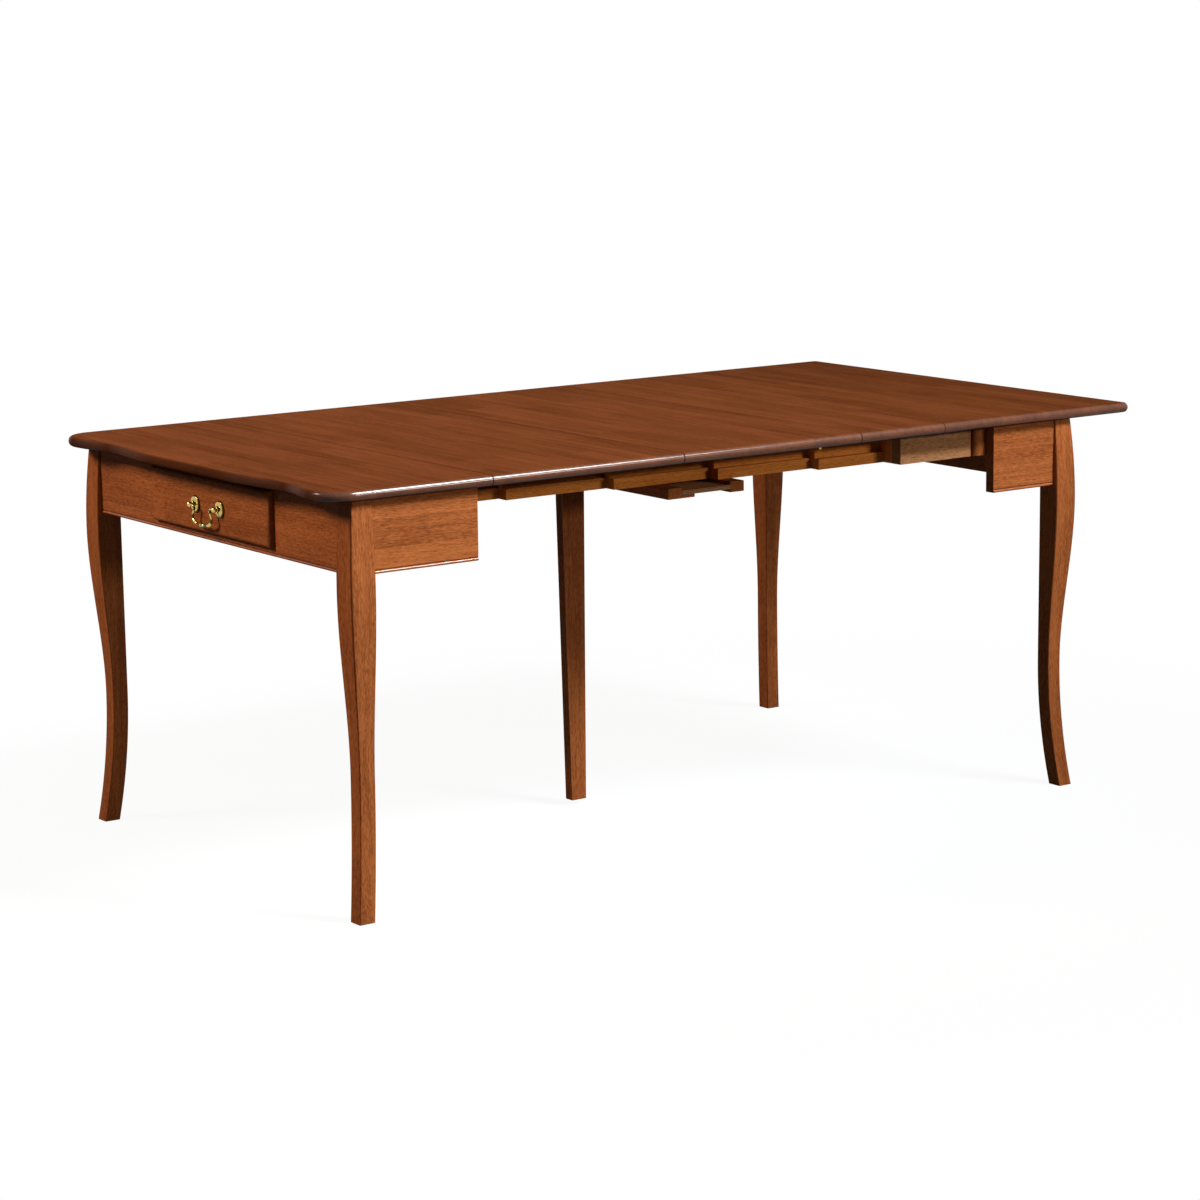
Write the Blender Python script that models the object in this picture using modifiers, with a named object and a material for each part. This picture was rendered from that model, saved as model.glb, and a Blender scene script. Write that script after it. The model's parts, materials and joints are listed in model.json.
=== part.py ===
"""Extendable console table, pulled out to dining length with its leaves in.

Metres, +Z up.  X runs along the table with the drawer end at -X, Y runs across it, and the
origin is on the floor under the middle of the top.  "left" is +Y, as seen from the drawer.
"""
import math

import bmesh
import bpy
from mathutils import Vector

# Driving dimensions: the top
TABLE_HEIGHT = 0.762
TOP_WIDTH = 0.990
TOP_THICK = 0.0195
NEAR_TOP_LENGTH = 0.339
LEAF_LENGTH = 0.4175
NARROW_LEAF_LENGTH = 0.207
FAR_TOP_LENGTH = 0.490
EDGE_ROUND = 0.0092
NEAR_CORNER_RADIUS = 0.060
FAR_CORNER_RADIUS = 0.014

# Serpentine front edge, measured from the table's sides and from the bulge's nose
EAR_FROM_SIDE = 0.062
DIP_FROM_SIDE = 0.170
BULGE_FROM_SIDE = 0.365
EAR_SETBACK = 0.001
DIP_SETBACK = 0.015

# S-curved legs
FOOT_SIZE = 0.032
NEAR_FOOT_INSET = 0.0505
FAR_FOOT_INSET = 0.1395
SIDE_FOOT_INSET = 0.0095
ANKLE_HEIGHT = 0.255
ANKLE_SETBACK = 0.018
KNEE_DROP = 0.1625
KNEE_SWELL = 0.001
LEG_TOP_SETBACK = 0.0078
LEG_INNER_SWELL = 0.018
FOOT_SLOPE = 0.14
LEG_TOP_SLOPE = 0.10
LEG_EDGE_EASE = 0.0015

# Aprons
APRON_SETBACK = 0.010
APRON_THICK = 0.022
APRON_HEIGHT = 0.131
BEAD_HEIGHT = 0.0056
BEAD_PROUD = 0.0012
QUIRK_HEIGHT = 0.0018
QUIRK_DEPTH = 0.0016
NEAR_APRON_SEAM_SETBACK = 0.021
FAR_APRON_LENGTH = 0.158
CORNER_BLOCK_REACH = 0.055
CORNER_BLOCK_HEIGHT = 0.080

# Drawer
DRAWER_FRONT_WIDTH = 0.430
DRAWER_FRONT_HEIGHT = 0.104
DRAWER_FRONT_DROP = 0.0125
DRAWER_LIP_THICK = 0.012
DRAWER_LIP_OVERLAP = 0.010
DRAWER_CORE_THICK = 0.012
DRAWER_EDGE_BEVEL = 0.009
DRAWER_DEPTH = 0.226
DRAWER_SIDE_THICK = 0.012
DRAWER_SIDE_HEIGHT = 0.072
DRAWER_BOTTOM_THICK = 0.005
DRAWER_GROOVE_DEPTH = 0.005
DRAWER_GROOVE_RISE = 0.008
DRAWER_SIDE_GAP = 0.003
RUNNER_THICK = 0.012
RUNNER_FOOT = 0.012

# Bail pull
PULL_SPACING = 0.089
PULL_BELOW_CENTRE = 0.0008
ROSETTE_RADIUS = 0.0155
ROSETTE_RIM = 0.0015
ROSETTE_RISE = 0.0045
POST_NECK_RADIUS = 0.0033
POST_COLLAR_RADIUS = 0.0050
POST_COLLAR_HEIGHT = 0.0075
POST_COLLAR_THICK = 0.0018
POST_STANDOFF = 0.0128
POST_BALL_RADIUS = 0.0051
STUD_RADIUS = 0.0021
STUD_TAIL = 0.007
NUT_WIDTH = 0.0085
NUT_THICK = 0.0035
BAIL_RADIUS = 0.0021
BAIL_DROP = 0.033
BAIL_BELLY_DROP = 0.020
BAIL_SHOULDER_SPREAD = 0.058
BAIL_BELLY_SPREAD = 0.068
BAIL_SHOULDER_ROUND = 0.004
BAIL_BEAD_RADIUS = 0.0036
BAIL_BEAD_LENGTH = 0.016
BAIL_BOTTOM_FLATNESS = 0.7

# Slides: members A (front frame) to F (back frame) step outwards by one pitch each
SLIDE_PITCH = 0.024
SLIDE_HEIGHT = 0.0584
SLIDE_LOWER_BAR = 0.0205
SLIDE_RECESS = 0.013
SLIDE_BLOCK_INSET = 0.046
SLIDE_BLOCK_THICK = 0.0257
SLIDE_BLOCK_LENGTH = 0.179
SLIDE_LEAD_IN = 0.139
SLIDE_LEAD_OUT = 0.234
SLIDE_OVERLAP = 0.200
SLIDE_F_LEAD = 0.073
SLIDE_F_TAIL = 0.070
SPACER_REVEAL = 0.028
STOP_SCREW_INSET = 0.014
STOP_SCREW_HEAD_RADIUS = 0.0034
STOP_SCREW_HEAD_THICK = 0.0020
STOP_SCREW_SHANK_RADIUS = 0.0016
STOP_SCREW_SHANK_LENGTH = 0.009

# Middle support
CENTRE_RAIL_WIDTH = 0.032
CENTRE_RAIL_THICK = 0.0200
CENTRE_RAIL_LEAD = 0.082
CENTRE_RAIL_SPACING = 0.1445
CENTRE_RAIL_END_INSET = 0.087
CENTRE_PLATE_THICK = 0.008
CENTRE_PLATE_DROP = 0.006
CLEAT_WIDTH = 0.029
CENTRE_LEG_FLOOR_GAP = 0.011
CENTRE_LEG_TOP_WIDTH = 0.0545
CENTRE_LEG_FOOT_WIDTH = 0.0342
CENTRE_LEG_THICK = 0.022
CENTRE_LEG_FRONT_TAPER = 0.0155
CENTRE_LEG_RAIL_GAP = 0.006
TENON_WIDTH = 0.018
TENON_THICK = 0.012

# Clearances
FIT_GAP = 0.0003
RUN_GAP = 0.0005

# Worked out from the above
TOP_LENGTH = NEAR_TOP_LENGTH + 2 * LEAF_LENGTH + NARROW_LEAF_LENGTH + FAR_TOP_LENGTH
UNDERSIDE = TABLE_HEIGHT - TOP_THICK
SEAT = UNDERSIDE - FIT_GAP
NEAR_EDGE = -TOP_LENGTH / 2
FAR_EDGE = TOP_LENGTH / 2
HALF_WIDTH = TOP_WIDTH / 2
SEAMS = [NEAR_EDGE + NEAR_TOP_LENGTH]
for leaf_length in (LEAF_LENGTH, LEAF_LENGTH, NARROW_LEAF_LENGTH):
    SEAMS.append(SEAMS[-1] + leaf_length)
NEAR_SEAM = SEAMS[0]
FAR_SEAM = SEAMS[-1]

NEAR_FOOT = NEAR_EDGE + NEAR_FOOT_INSET
FAR_FOOT = FAR_EDGE - FAR_FOOT_INSET
SIDE_FOOT = HALF_WIDTH - SIDE_FOOT_INSET
LEG_BLOCK = FOOT_SIZE + LEG_INNER_SWELL

APRON_BOTTOM = SEAT - APRON_HEIGHT
APRON_SIDE = SIDE_FOOT - APRON_SETBACK
NEAR_APRON_FACE = NEAR_FOOT + APRON_SETBACK
FAR_APRON_FACE = FAR_FOOT - APRON_SETBACK
NEAR_APRON_END = NEAR_SEAM - NEAR_APRON_SEAM_SETBACK
FAR_APRON_END = FAR_FOOT - LEG_BLOCK - FIT_GAP - FAR_APRON_LENGTH

DRAWER_TOP = UNDERSIDE - DRAWER_FRONT_DROP
DRAWER_BASE = DRAWER_TOP - DRAWER_FRONT_HEIGHT
DRAWER_FACE = NEAR_APRON_FACE - FIT_GAP - DRAWER_LIP_THICK
DRAWER_CORE_BACK = NEAR_APRON_FACE - FIT_GAP + DRAWER_CORE_THICK
OPENING_HALF = DRAWER_FRONT_WIDTH / 2 - DRAWER_LIP_OVERLAP
OPENING_TOP = DRAWER_TOP - DRAWER_LIP_OVERLAP
OPENING_BASE = DRAWER_BASE + DRAWER_LIP_OVERLAP
DRAWER_HALF = OPENING_HALF - DRAWER_SIDE_GAP
DRAWER_SIDE_BASE = OPENING_BASE + DRAWER_SIDE_GAP
DRAWER_END = NEAR_APRON_FACE + APRON_THICK + DRAWER_DEPTH
PULL_HEIGHT = (DRAWER_TOP + DRAWER_BASE) / 2 - PULL_BELOW_CENTRE
BAIL_X = DRAWER_FACE - POST_STANDOFF

SLIDE_BASE = SEAT - SLIDE_HEIGHT
SLIDE_BAR_WIDTH = SLIDE_PITCH - RUN_GAP
SLIDE_F_SIDE = HALF_WIDTH - SLIDE_BLOCK_INSET - SLIDE_BLOCK_THICK - FIT_GAP
SLIDE_B_START = NEAR_SEAM + SLIDE_LEAD_IN
SLIDE_E_START = FAR_SEAM - SLIDE_LEAD_OUT
SLIDE_STEP = (SLIDE_E_START - SLIDE_B_START) / 3
SLIDE_LENGTH = SLIDE_STEP + SLIDE_OVERLAP
SLIDE_F_START = FAR_SEAM - SLIDE_F_LEAD
SLIDE_F_END = FAR_FOOT - LEG_BLOCK - SLIDE_F_TAIL
SLIDE_C_START = SLIDE_B_START + SLIDE_STEP

RAIL_TOP = SLIDE_BASE - FIT_GAP
RAIL_BASE = RAIL_TOP - CENTRE_RAIL_THICK
RAIL_HALF_LENGTH = HALF_WIDTH - CENTRE_RAIL_END_INSET
NEAR_RAIL_X = SLIDE_C_START + CENTRE_RAIL_LEAD + CENTRE_RAIL_WIDTH / 2
FAR_RAIL_X = NEAR_RAIL_X + CENTRE_RAIL_SPACING
PLATE_TOP = RAIL_TOP - CENTRE_PLATE_DROP
PLATE_BASE = PLATE_TOP - CENTRE_PLATE_THICK
PLATE_START = NEAR_RAIL_X + CENTRE_RAIL_WIDTH / 2 + FIT_GAP
PLATE_END = FAR_RAIL_X - CENTRE_RAIL_WIDTH / 2 - FIT_GAP
LEG_SHOULDER = RAIL_BASE - FIT_GAP
CENTRE_LEG_X = PLATE_START + CENTRE_LEG_RAIL_GAP

SIDES = (("left", 1), ("right", -1))
STOPPED_MEMBERS = "de"


def clear_scene():
    """Remove whatever the file holds."""
    for item in list(bpy.data.objects):
        bpy.data.objects.remove(item, do_unlink=True)


def collection(name, hidden=False):
    """A new collection in the scene."""
    group = bpy.data.collections.new(name)
    bpy.context.scene.collection.children.link(group)
    group.hide_render = hidden
    return group


def finish(name, colour, roughness, metallic=0.0):
    """A Principled material."""
    material = bpy.data.materials.new(name)
    material.use_nodes = True
    shader = material.node_tree.nodes["Principled BSDF"]
    shader.inputs["Base Color"].default_value = (*colour, 1.0)
    shader.inputs["Roughness"].default_value = roughness
    shader.inputs["Metallic"].default_value = metallic
    return material


clear_scene()
PARTS = collection("extendable_console_table")
CUTTERS = collection("cutters", hidden=True)

TOP_STAIN = finish("top_stain", (0.20, 0.058, 0.020), 0.32)
FRAME_STAIN = finish("frame_stain", (0.28, 0.080, 0.024), 0.38)
SLIDE_WOOD = finish("slide_wood", (0.26, 0.110, 0.034), 0.50)
PALE_BLOCK = finish("pale_block", (0.17, 0.085, 0.042), 0.55)
PLYWOOD = finish("plywood", (0.30, 0.140, 0.060), 0.60)
DRAWER_WOOD = finish("drawer_wood", (0.48, 0.300, 0.150), 0.55)
BRASS = finish("polished_brass", (0.80, 0.56, 0.20), 0.18, 1.0)


def pivot(name, location, parent=None):
    """An empty that a moving group hangs on."""
    empty = bpy.data.objects.new(name, None)
    empty.empty_display_size = 0.05
    PARTS.objects.link(empty)
    empty.parent = parent
    offset = parent.matrix_world.translation if parent else Vector()
    empty.location = Vector(location) - offset
    bpy.context.view_layer.update()
    return empty


def place(part, material, group):
    """Give a part its finish and hang it on its group without moving it."""
    part.data.materials.clear()
    part.data.materials.append(material)
    PARTS.objects.link(part)
    part.parent = group
    if group:
        part.matrix_parent_inverse = group.matrix_world.inverted()
    bpy.context.view_layer.update()
    return part


def mesh_object(name, shape):
    """An object from a bmesh, which is freed."""
    mesh = bpy.data.meshes.new(name)
    shape.to_mesh(mesh)
    shape.free()
    return bpy.data.objects.new(name, mesh)


def board(name, low, high):
    """A rectangular board between two corners."""
    low = Vector(low)
    high = Vector(high)
    shape = bmesh.new()
    bmesh.ops.create_cube(shape, size=1.0)
    bmesh.ops.scale(shape, vec=high - low, verts=shape.verts)
    part = mesh_object(name, shape)
    part.location = (low + high) / 2
    return part


def outline_solid(name, outline, thickness):
    """A flat outline in XY with a thickness along Z, centred on the XY plane."""
    curve = bpy.data.curves.new(name, "CURVE")
    curve.dimensions = "2D"
    curve.fill_mode = "BOTH"
    curve.extrude = thickness / 2
    spline = curve.splines.new("POLY")
    spline.points.add(len(outline) - 1)
    for point, (x, y) in zip(spline.points, outline):
        point.co = (x, y, 0.0, 1.0)
    spline.use_cyclic_u = True
    return as_mesh(bpy.data.objects.new(name, curve))


def as_mesh(source):
    """Replace a curve object by the closed mesh that it evaluates to."""
    bpy.context.scene.collection.objects.link(source)
    bpy.context.view_layer.update()
    graph = bpy.context.evaluated_depsgraph_get()
    mesh = bpy.data.meshes.new_from_object(source.evaluated_get(graph))
    shape = bmesh.new()
    shape.from_mesh(mesh)
    bmesh.ops.remove_doubles(shape, verts=shape.verts, dist=0.00001)
    bmesh.ops.recalc_face_normals(shape, faces=shape.faces)
    shape.to_mesh(mesh)
    shape.free()
    name = source.name
    matrix = source.matrix_world.copy()
    bpy.data.objects.remove(source, do_unlink=True)
    part = bpy.data.objects.new(name, mesh)
    part.matrix_world = matrix
    return part


def rail(name, section, start, end, face, turn):
    """A section (depth, height) run along X from start to end, or along Y when turn is 0 or pi.

    face is where the section's zero depth lies, and turn is the direction, about Z, in which
    depth grows: 0 for +X, pi / 2 for +Y and so on.
    """
    part = outline_solid(name, section, end - start)
    part.rotation_euler = (math.pi / 2, 0.0, turn)
    middle = (start + end) / 2
    if abs(math.cos(turn)) > 0.5:
        part.location = (face, middle, 0.0)
    else:
        part.location = (middle, face, 0.0)
    return part


def side_rail(name, section, start, end, side, face):
    """A rail along X on one side of the table, its depth growing towards the middle."""
    return rail(name, section, start, end, side * face, -side * math.pi / 2)


def cutter(part):
    """Put a shape among the cutters."""
    part.hide_render = True
    part.display_type = "WIRE"
    CUTTERS.objects.link(part)
    bpy.context.view_layer.update()
    return part


def carve(part, tool, operation="DIFFERENCE"):
    """A Boolean of a part with a cutter."""
    modifier = part.modifiers.new(operation.title(), "BOOLEAN")
    modifier.operation = operation
    modifier.solver = "EXACT"
    modifier.object = tool
    return part


def ease(part, width, segments=1, angle=50):
    """Round or chamfer a part's sharp edges."""
    modifier = part.modifiers.new("Eased edges", "BEVEL")
    modifier.width = width
    modifier.segments = segments
    modifier.limit_method = "ANGLE"
    modifier.angle_limit = math.radians(angle)
    return part


def applied(part):
    """The same object with its modifiers made part of its mesh."""
    bpy.context.scene.collection.objects.link(part)
    bpy.context.view_layer.update()
    graph = bpy.context.evaluated_depsgraph_get()
    mesh = bpy.data.meshes.new_from_object(part.evaluated_get(graph))
    part.modifiers.clear()
    part.data = mesh
    bpy.context.scene.collection.objects.unlink(part)
    return part


def rod(name, radius, start, end, sides=16):
    """A round rod between two points."""
    start = Vector(start)
    end = Vector(end)
    shape = bmesh.new()
    bmesh.ops.create_cone(
        shape, cap_ends=True, segments=sides, radius1=radius, radius2=radius, depth=(end - start).length)
    part = mesh_object(name, shape)
    part.rotation_euler = (end - start).to_track_quat("Z", "Y").to_euler()
    part.location = (start + end) / 2
    return part


def turned(name, profile, steps=20):
    """A profile (radius, height), listed from top to bottom, turned about Z."""
    shape = bmesh.new()
    points = [shape.verts.new((radius, 0.0, height)) for radius, height in profile]
    for first, second in zip(points, points[1:]):
        shape.edges.new((first, second))
    part = mesh_object(name, shape)
    modifier = part.modifiers.new("Turned", "SCREW")
    modifier.steps = steps
    modifier.render_steps = steps
    modifier.use_merge_vertices = True
    modifier.merge_threshold = 0.00001
    modifier.use_smooth_shade = True
    return part


def dome(radius, rise, base, steps):
    """Profile points (radius, height) of a rounded cap, from its top out to its rim."""
    points = []
    for step in range(steps + 1):
        angle = step / steps * math.pi / 2
        points.append((radius * math.sin(angle), base + rise * math.cos(angle)))
    points[0] = (0.0, base + rise)
    return points


def smoothstep(value, low, high):
    """0 below low, 1 above high and an even S between."""
    share = min(max((value - low) / (high - low), 0.0), 1.0)
    return share * share * (3 - 2 * share)


def arc(centre_x, centre_y, radius, start, end, steps):
    """Points on an arc, angles in degrees, both ends included."""
    points = []
    for step in range(steps + 1):
        angle = math.radians(start + (end - start) * step / steps)
        points.append((centre_x + radius * math.cos(angle), centre_y + radius * math.sin(angle)))
    return points


def s_curve(stations, steps):
    """Points (value, height) through stations (height, value, slope), each stretch an even cubic."""
    points = []
    for (z0, v0, s0), (z1, v1, s1) in zip(stations, stations[1:]):
        span = z1 - z0
        for step in range(steps):
            t = step / steps
            rise = t * t * (3 - 2 * t)
            start_pull = t * (1 - t) * (1 - t) * span * s0
            end_pull = t * t * (t - 1) * span * s1
            points.append((v0 + (v1 - v0) * rise + start_pull + end_pull, z0 + span * t))
    points.append((stations[-1][1], stations[-1][0]))
    return points


def serpentine(offset):
    """Set-back of the front edge behind the bulge's nose, at a distance from the middle."""
    bulge_end = HALF_WIDTH - BULGE_FROM_SIDE
    dip = HALF_WIDTH - DIP_FROM_SIDE
    ear = HALF_WIDTH - EAR_FROM_SIDE
    fall = DIP_SETBACK * smoothstep(offset, bulge_end, dip)
    return fall - (DIP_SETBACK - EAR_SETBACK) * smoothstep(offset, dip, ear)


def top_outline(front_steps=44, corner_steps=5):
    """The whole top from above: serpentine front, straight sides, square back, rounded corners."""
    front_reach = HALF_WIDTH - NEAR_CORNER_RADIUS
    front = []
    for step in range(front_steps + 1):
        y = front_reach * (1 - 2 * step / front_steps)
        front.append((NEAR_EDGE + serpentine(abs(y)), y))
    near_x = front[0][0] + NEAR_CORNER_RADIUS
    far_x = FAR_EDGE - FAR_CORNER_RADIUS
    far_y = HALF_WIDTH - FAR_CORNER_RADIUS
    points = front
    points += arc(near_x, -front_reach, NEAR_CORNER_RADIUS, 180, 270, corner_steps)[1:]
    points += arc(far_x, -far_y, FAR_CORNER_RADIUS, 270, 360, corner_steps)
    points += arc(far_x, far_y, FAR_CORNER_RADIUS, 0, 90, corner_steps)
    points += arc(near_x, front_reach, NEAR_CORNER_RADIUS, 90, 180, corner_steps)[:-1]
    return points


def build_tops(groups):
    """Shape the whole top once, then cut it square at the seams."""
    blank = outline_solid("top_blank", top_outline(), TOP_THICK)
    blank.location.z = UNDERSIDE + TOP_THICK / 2
    ease(blank, EDGE_ROUND, segments=4)
    applied(blank)
    margin = TOP_THICK
    cuts = [NEAR_EDGE - margin] + SEAMS + [FAR_EDGE + margin]
    names = ("near_top", "leaf_1", "leaf_2", "leaf_3", "far_top")
    for name, start, end in zip(names, cuts, cuts[1:]):
        low = (start + FIT_GAP / 2, -HALF_WIDTH - margin, UNDERSIDE - margin)
        high = (end - FIT_GAP / 2, HALF_WIDTH + margin, TABLE_HEIGHT + margin)
        piece = bpy.data.objects.new(name, blank.data.copy())
        piece.location = blank.location
        carve(piece, cutter(board(name + "_span", low, high)), "INTERSECT")
        place(piece, TOP_STAIN, groups[name])
    bpy.data.objects.remove(blank, do_unlink=True)


def leg_outline(steps=7):
    """One face of an S-curved leg: depth in from the foot's outer face, and height."""
    top = SEAT
    outer = s_curve((
        (0.0, 0.0, FOOT_SLOPE),
        (ANKLE_HEIGHT, ANKLE_SETBACK, 0.0),
        (UNDERSIDE - KNEE_DROP, -KNEE_SWELL, 0.0),
        (top, LEG_TOP_SETBACK, LEG_TOP_SLOPE)), steps)
    inner = s_curve((
        (0.0, FOOT_SIZE, FOOT_SLOPE),
        (ANKLE_HEIGHT, LEG_BLOCK, 0.0)), steps)
    return outer + [(LEG_BLOCK, top)] + inner[::-1]


def build_leg(name, foot_x, side, end, group):
    """A leg that curves the same way in both directions: two outlines crossed.

    foot_x is the outer face of the foot, and end is the way it faces along X.
    """
    reach = 2 * LEG_BLOCK
    outline = leg_outline()
    foot_y = side * SIDE_FOOT
    middle_y = foot_y - side * LEG_BLOCK / 2
    middle_x = foot_x - end * LEG_BLOCK / 2
    along = 0.0 if end < 0 else math.pi
    leg = rail(name, outline, middle_y - reach, middle_y + reach, foot_x, along)
    across = side_rail(name + "_across", outline, middle_x - reach, middle_x + reach, side, SIDE_FOOT)
    carve(leg, cutter(across), "INTERSECT")
    ease(leg, LEG_EDGE_EASE, angle=40)
    return place(leg, FRAME_STAIN, group)


def apron_section(bead_steps=5):
    """Apron with a quirk and a half-round bead along its bottom edge."""
    bead_top = APRON_BOTTOM + BEAD_HEIGHT
    section = [(0.0, SEAT), (APRON_THICK, SEAT), (APRON_THICK, APRON_BOTTOM)]
    for step in range(bead_steps + 1):
        angle = math.pi * step / bead_steps
        height = APRON_BOTTOM + BEAD_HEIGHT * (1 - math.cos(angle)) / 2
        section.append((QUIRK_DEPTH - (QUIRK_DEPTH + BEAD_PROUD) * math.sin(angle), height))
    section.append((QUIRK_DEPTH, bead_top + QUIRK_HEIGHT / 2))
    section.append((0.0, bead_top + QUIRK_HEIGHT))
    return section


def lower_rail_section():
    """The apron's section cut off at the foot of the drawer opening."""
    return [(depth, min(height, OPENING_BASE - FIT_GAP)) for depth, height in apron_section()]


def corner_block(name, corner_x, corner_y, end, side, group):
    """A glue block behind a leg, notched round the leg's inner corner."""
    into_x = -end
    into_y = -side
    wall_x = corner_x + into_x * (APRON_SETBACK + APRON_THICK + FIT_GAP)
    wall_y = corner_y + into_y * (APRON_SETBACK + APRON_THICK + FIT_GAP)
    leg_x = corner_x + into_x * (LEG_BLOCK + FIT_GAP)
    leg_y = corner_y + into_y * (LEG_BLOCK + FIT_GAP)
    outline = [
        (leg_x, wall_y),
        (leg_x + into_x * CORNER_BLOCK_REACH, wall_y),
        (wall_x, leg_y + into_y * CORNER_BLOCK_REACH),
        (wall_x, leg_y),
        (leg_x, leg_y)]
    block = outline_solid(name, outline, CORNER_BLOCK_HEIGHT)
    block.location.z = SEAT - CORNER_BLOCK_HEIGHT / 2
    return place(block, SLIDE_WOOD, group)


def build_near_frame(group):
    """Front frame: legs, aprons round the drawer, glue blocks and drawer runners."""
    section = apron_section()
    leg_inside = NEAR_FOOT + LEG_BLOCK + FIT_GAP
    side_inside = SIDE_FOOT - LEG_BLOCK - FIT_GAP
    panel_back = NEAR_APRON_FACE + APRON_THICK
    for word, side in SIDES:
        build_leg("near_leg_" + word, NEAR_FOOT, side, -1, group)
        apron = side_rail("near_apron_" + word, section, leg_inside, NEAR_APRON_END, side, APRON_SIDE)
        place(apron, FRAME_STAIN, group)
        corner_block("near_corner_block_" + word, NEAR_FOOT, side * SIDE_FOOT, -1, side, group)
        near_y = side * OPENING_HALF
        far_y = side * side_inside
        panel = board(
            "end_panel_" + word,
            (NEAR_APRON_FACE, min(near_y, far_y), OPENING_BASE),
            (panel_back, max(near_y, far_y), SEAT))
        place(panel, FRAME_STAIN, group)
        build_runner("drawer_runner_" + word, panel_back + FIT_GAP, side, group)
    lower = rail("drawer_rail_bottom", lower_rail_section(), -side_inside, side_inside, NEAR_APRON_FACE, 0.0)
    place(lower, FRAME_STAIN, group)
    upper = board(
        "drawer_rail_top",
        (NEAR_APRON_FACE, -OPENING_HALF + FIT_GAP, OPENING_TOP),
        (panel_back, OPENING_HALF - FIT_GAP, SEAT))
    place(upper, FRAME_STAIN, group)


def build_runner(name, start, side, group):
    """An L-shaped runner hung under the top, with a foot that the drawer side slides on."""
    outer = DRAWER_HALF + RUN_GAP + RUNNER_THICK
    foot_top = DRAWER_SIDE_BASE - RUN_GAP
    section = [
        (0.0, foot_top - RUNNER_FOOT),
        (RUNNER_THICK + RUN_GAP + DRAWER_SIDE_THICK, foot_top - RUNNER_FOOT),
        (RUNNER_THICK + RUN_GAP + DRAWER_SIDE_THICK, foot_top),
        (RUNNER_THICK, foot_top),
        (RUNNER_THICK, SEAT),
        (0.0, SEAT)]
    runner = side_rail(name, section, start, DRAWER_END, side, outer)
    return place(runner, SLIDE_WOOD, group)


def build_far_frame(group):
    """Back frame: legs, beaded aprons, glue blocks and the spacers behind the slides."""
    section = apron_section()
    leg_inside = FAR_FOOT - LEG_BLOCK - FIT_GAP
    side_inside = SIDE_FOOT - LEG_BLOCK - FIT_GAP
    for word, side in SIDES:
        build_leg("far_leg_" + word, FAR_FOOT, side, 1, group)
        apron = side_rail("far_apron_" + word, section, FAR_APRON_END, leg_inside, side, APRON_SIDE)
        place(apron, FRAME_STAIN, group)
        corner_block("far_corner_block_" + word, FAR_FOOT, side * SIDE_FOOT, 1, side, group)
        build_spacer("apron_spacer_" + word, side, group)
    end_apron = rail("far_end_apron", section, -side_inside, side_inside, FAR_APRON_FACE, math.pi)
    place(end_apron, FRAME_STAIN, group)


def build_spacer(name, side, group):
    """A block with a half-round end that ties the last slide member to the back frame's apron."""
    outer = APRON_SIDE - APRON_THICK - FIT_GAP
    inner = SLIDE_F_SIDE + FIT_GAP
    radius = (outer - inner) / 2
    middle = side * (outer + inner) / 2
    start = FAR_APRON_END - SPACER_REVEAL + radius
    outline = arc(start, middle, radius, 90, 270, 10)
    outline += [(SLIDE_F_END, middle - radius), (SLIDE_F_END, middle + radius)]
    spacer = outline_solid(name, outline, SLIDE_HEIGHT)
    spacer.location.z = SEAT - SLIDE_HEIGHT / 2
    return place(spacer, FRAME_STAIN, group)


def slide_section(open_outside, open_inside):
    """A slide member's section: depth in from its lower bar's outer face, and height.

    The upper bar is set back by the recess.  It rests on the inner neighbour's lower bar where
    open_inside is true, and leaves room for the outer neighbour's where open_outside is true.
    """
    base = SLIDE_BASE
    step = base + SLIDE_LOWER_BAR
    inner = SLIDE_RECESS + SLIDE_BAR_WIDTH
    section = [(0.0, base)]
    if open_inside:
        section += [(SLIDE_BAR_WIDTH, base), (SLIDE_BAR_WIDTH, step + RUN_GAP), (inner, step + RUN_GAP)]
    else:
        section += [(inner, base)]
    section += [(inner, SEAT)]
    if open_outside:
        section += [(SLIDE_RECESS, SEAT), (SLIDE_RECESS, step), (0.0, step)]
    else:
        section += [(0.0, SEAT)]
    return section


def build_slides(groups):
    """Six interlocking members on each side, stepping outwards from the front to the back frame."""
    near_end = NEAR_APRON_FACE + APRON_THICK + FIT_GAP
    spans = {"a": (near_end, SLIDE_B_START + SLIDE_OVERLAP)}
    for index, letter in enumerate("bcde"):
        start = SLIDE_B_START + index * SLIDE_STEP
        spans[letter] = (start, start + SLIDE_LENGTH)
    spans["f"] = (SLIDE_F_START, SLIDE_F_END)
    for index, letter in enumerate("fedcba"):
        face = SLIDE_F_SIDE - index * SLIDE_PITCH
        start, end = spans[letter]
        section = slide_section(open_outside=letter != "f", open_inside=letter != "a")
        group = groups["slide_" + letter]
        for word, side in SIDES:
            member = side_rail("slide_%s_%s" % (letter, word), section, start, end, side, face)
            if letter in STOPPED_MEMBERS:
                hole = stop_screw_hole("stop_hole_%s_%s" % (letter, word), start, side, face)
                carve(member, cutter(hole))
                build_stop_screw("stop_screw_%s_%s" % (letter, word), start, side, face, group)
            place(member, SLIDE_WOOD, group)
    for word, side in SIDES:
        outer = side * (SLIDE_F_SIDE + FIT_GAP + SLIDE_BLOCK_THICK)
        inner = side * (SLIDE_F_SIDE + FIT_GAP)
        block = board(
            "slide_f_block_" + word,
            (SLIDE_F_START, min(outer, inner), SLIDE_BASE),
            (SLIDE_F_START + SLIDE_BLOCK_LENGTH, max(outer, inner), SEAT))
        place(block, PALE_BLOCK, groups["slide_f"])


def stop_screw_seat(start, face):
    """Where a stop screw's head meets a member's upper bar: along X, out from the middle, height."""
    height = (SLIDE_BASE + SLIDE_LOWER_BAR + SEAT) / 2
    return start + STOP_SCREW_INSET, face - SLIDE_RECESS, height


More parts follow.
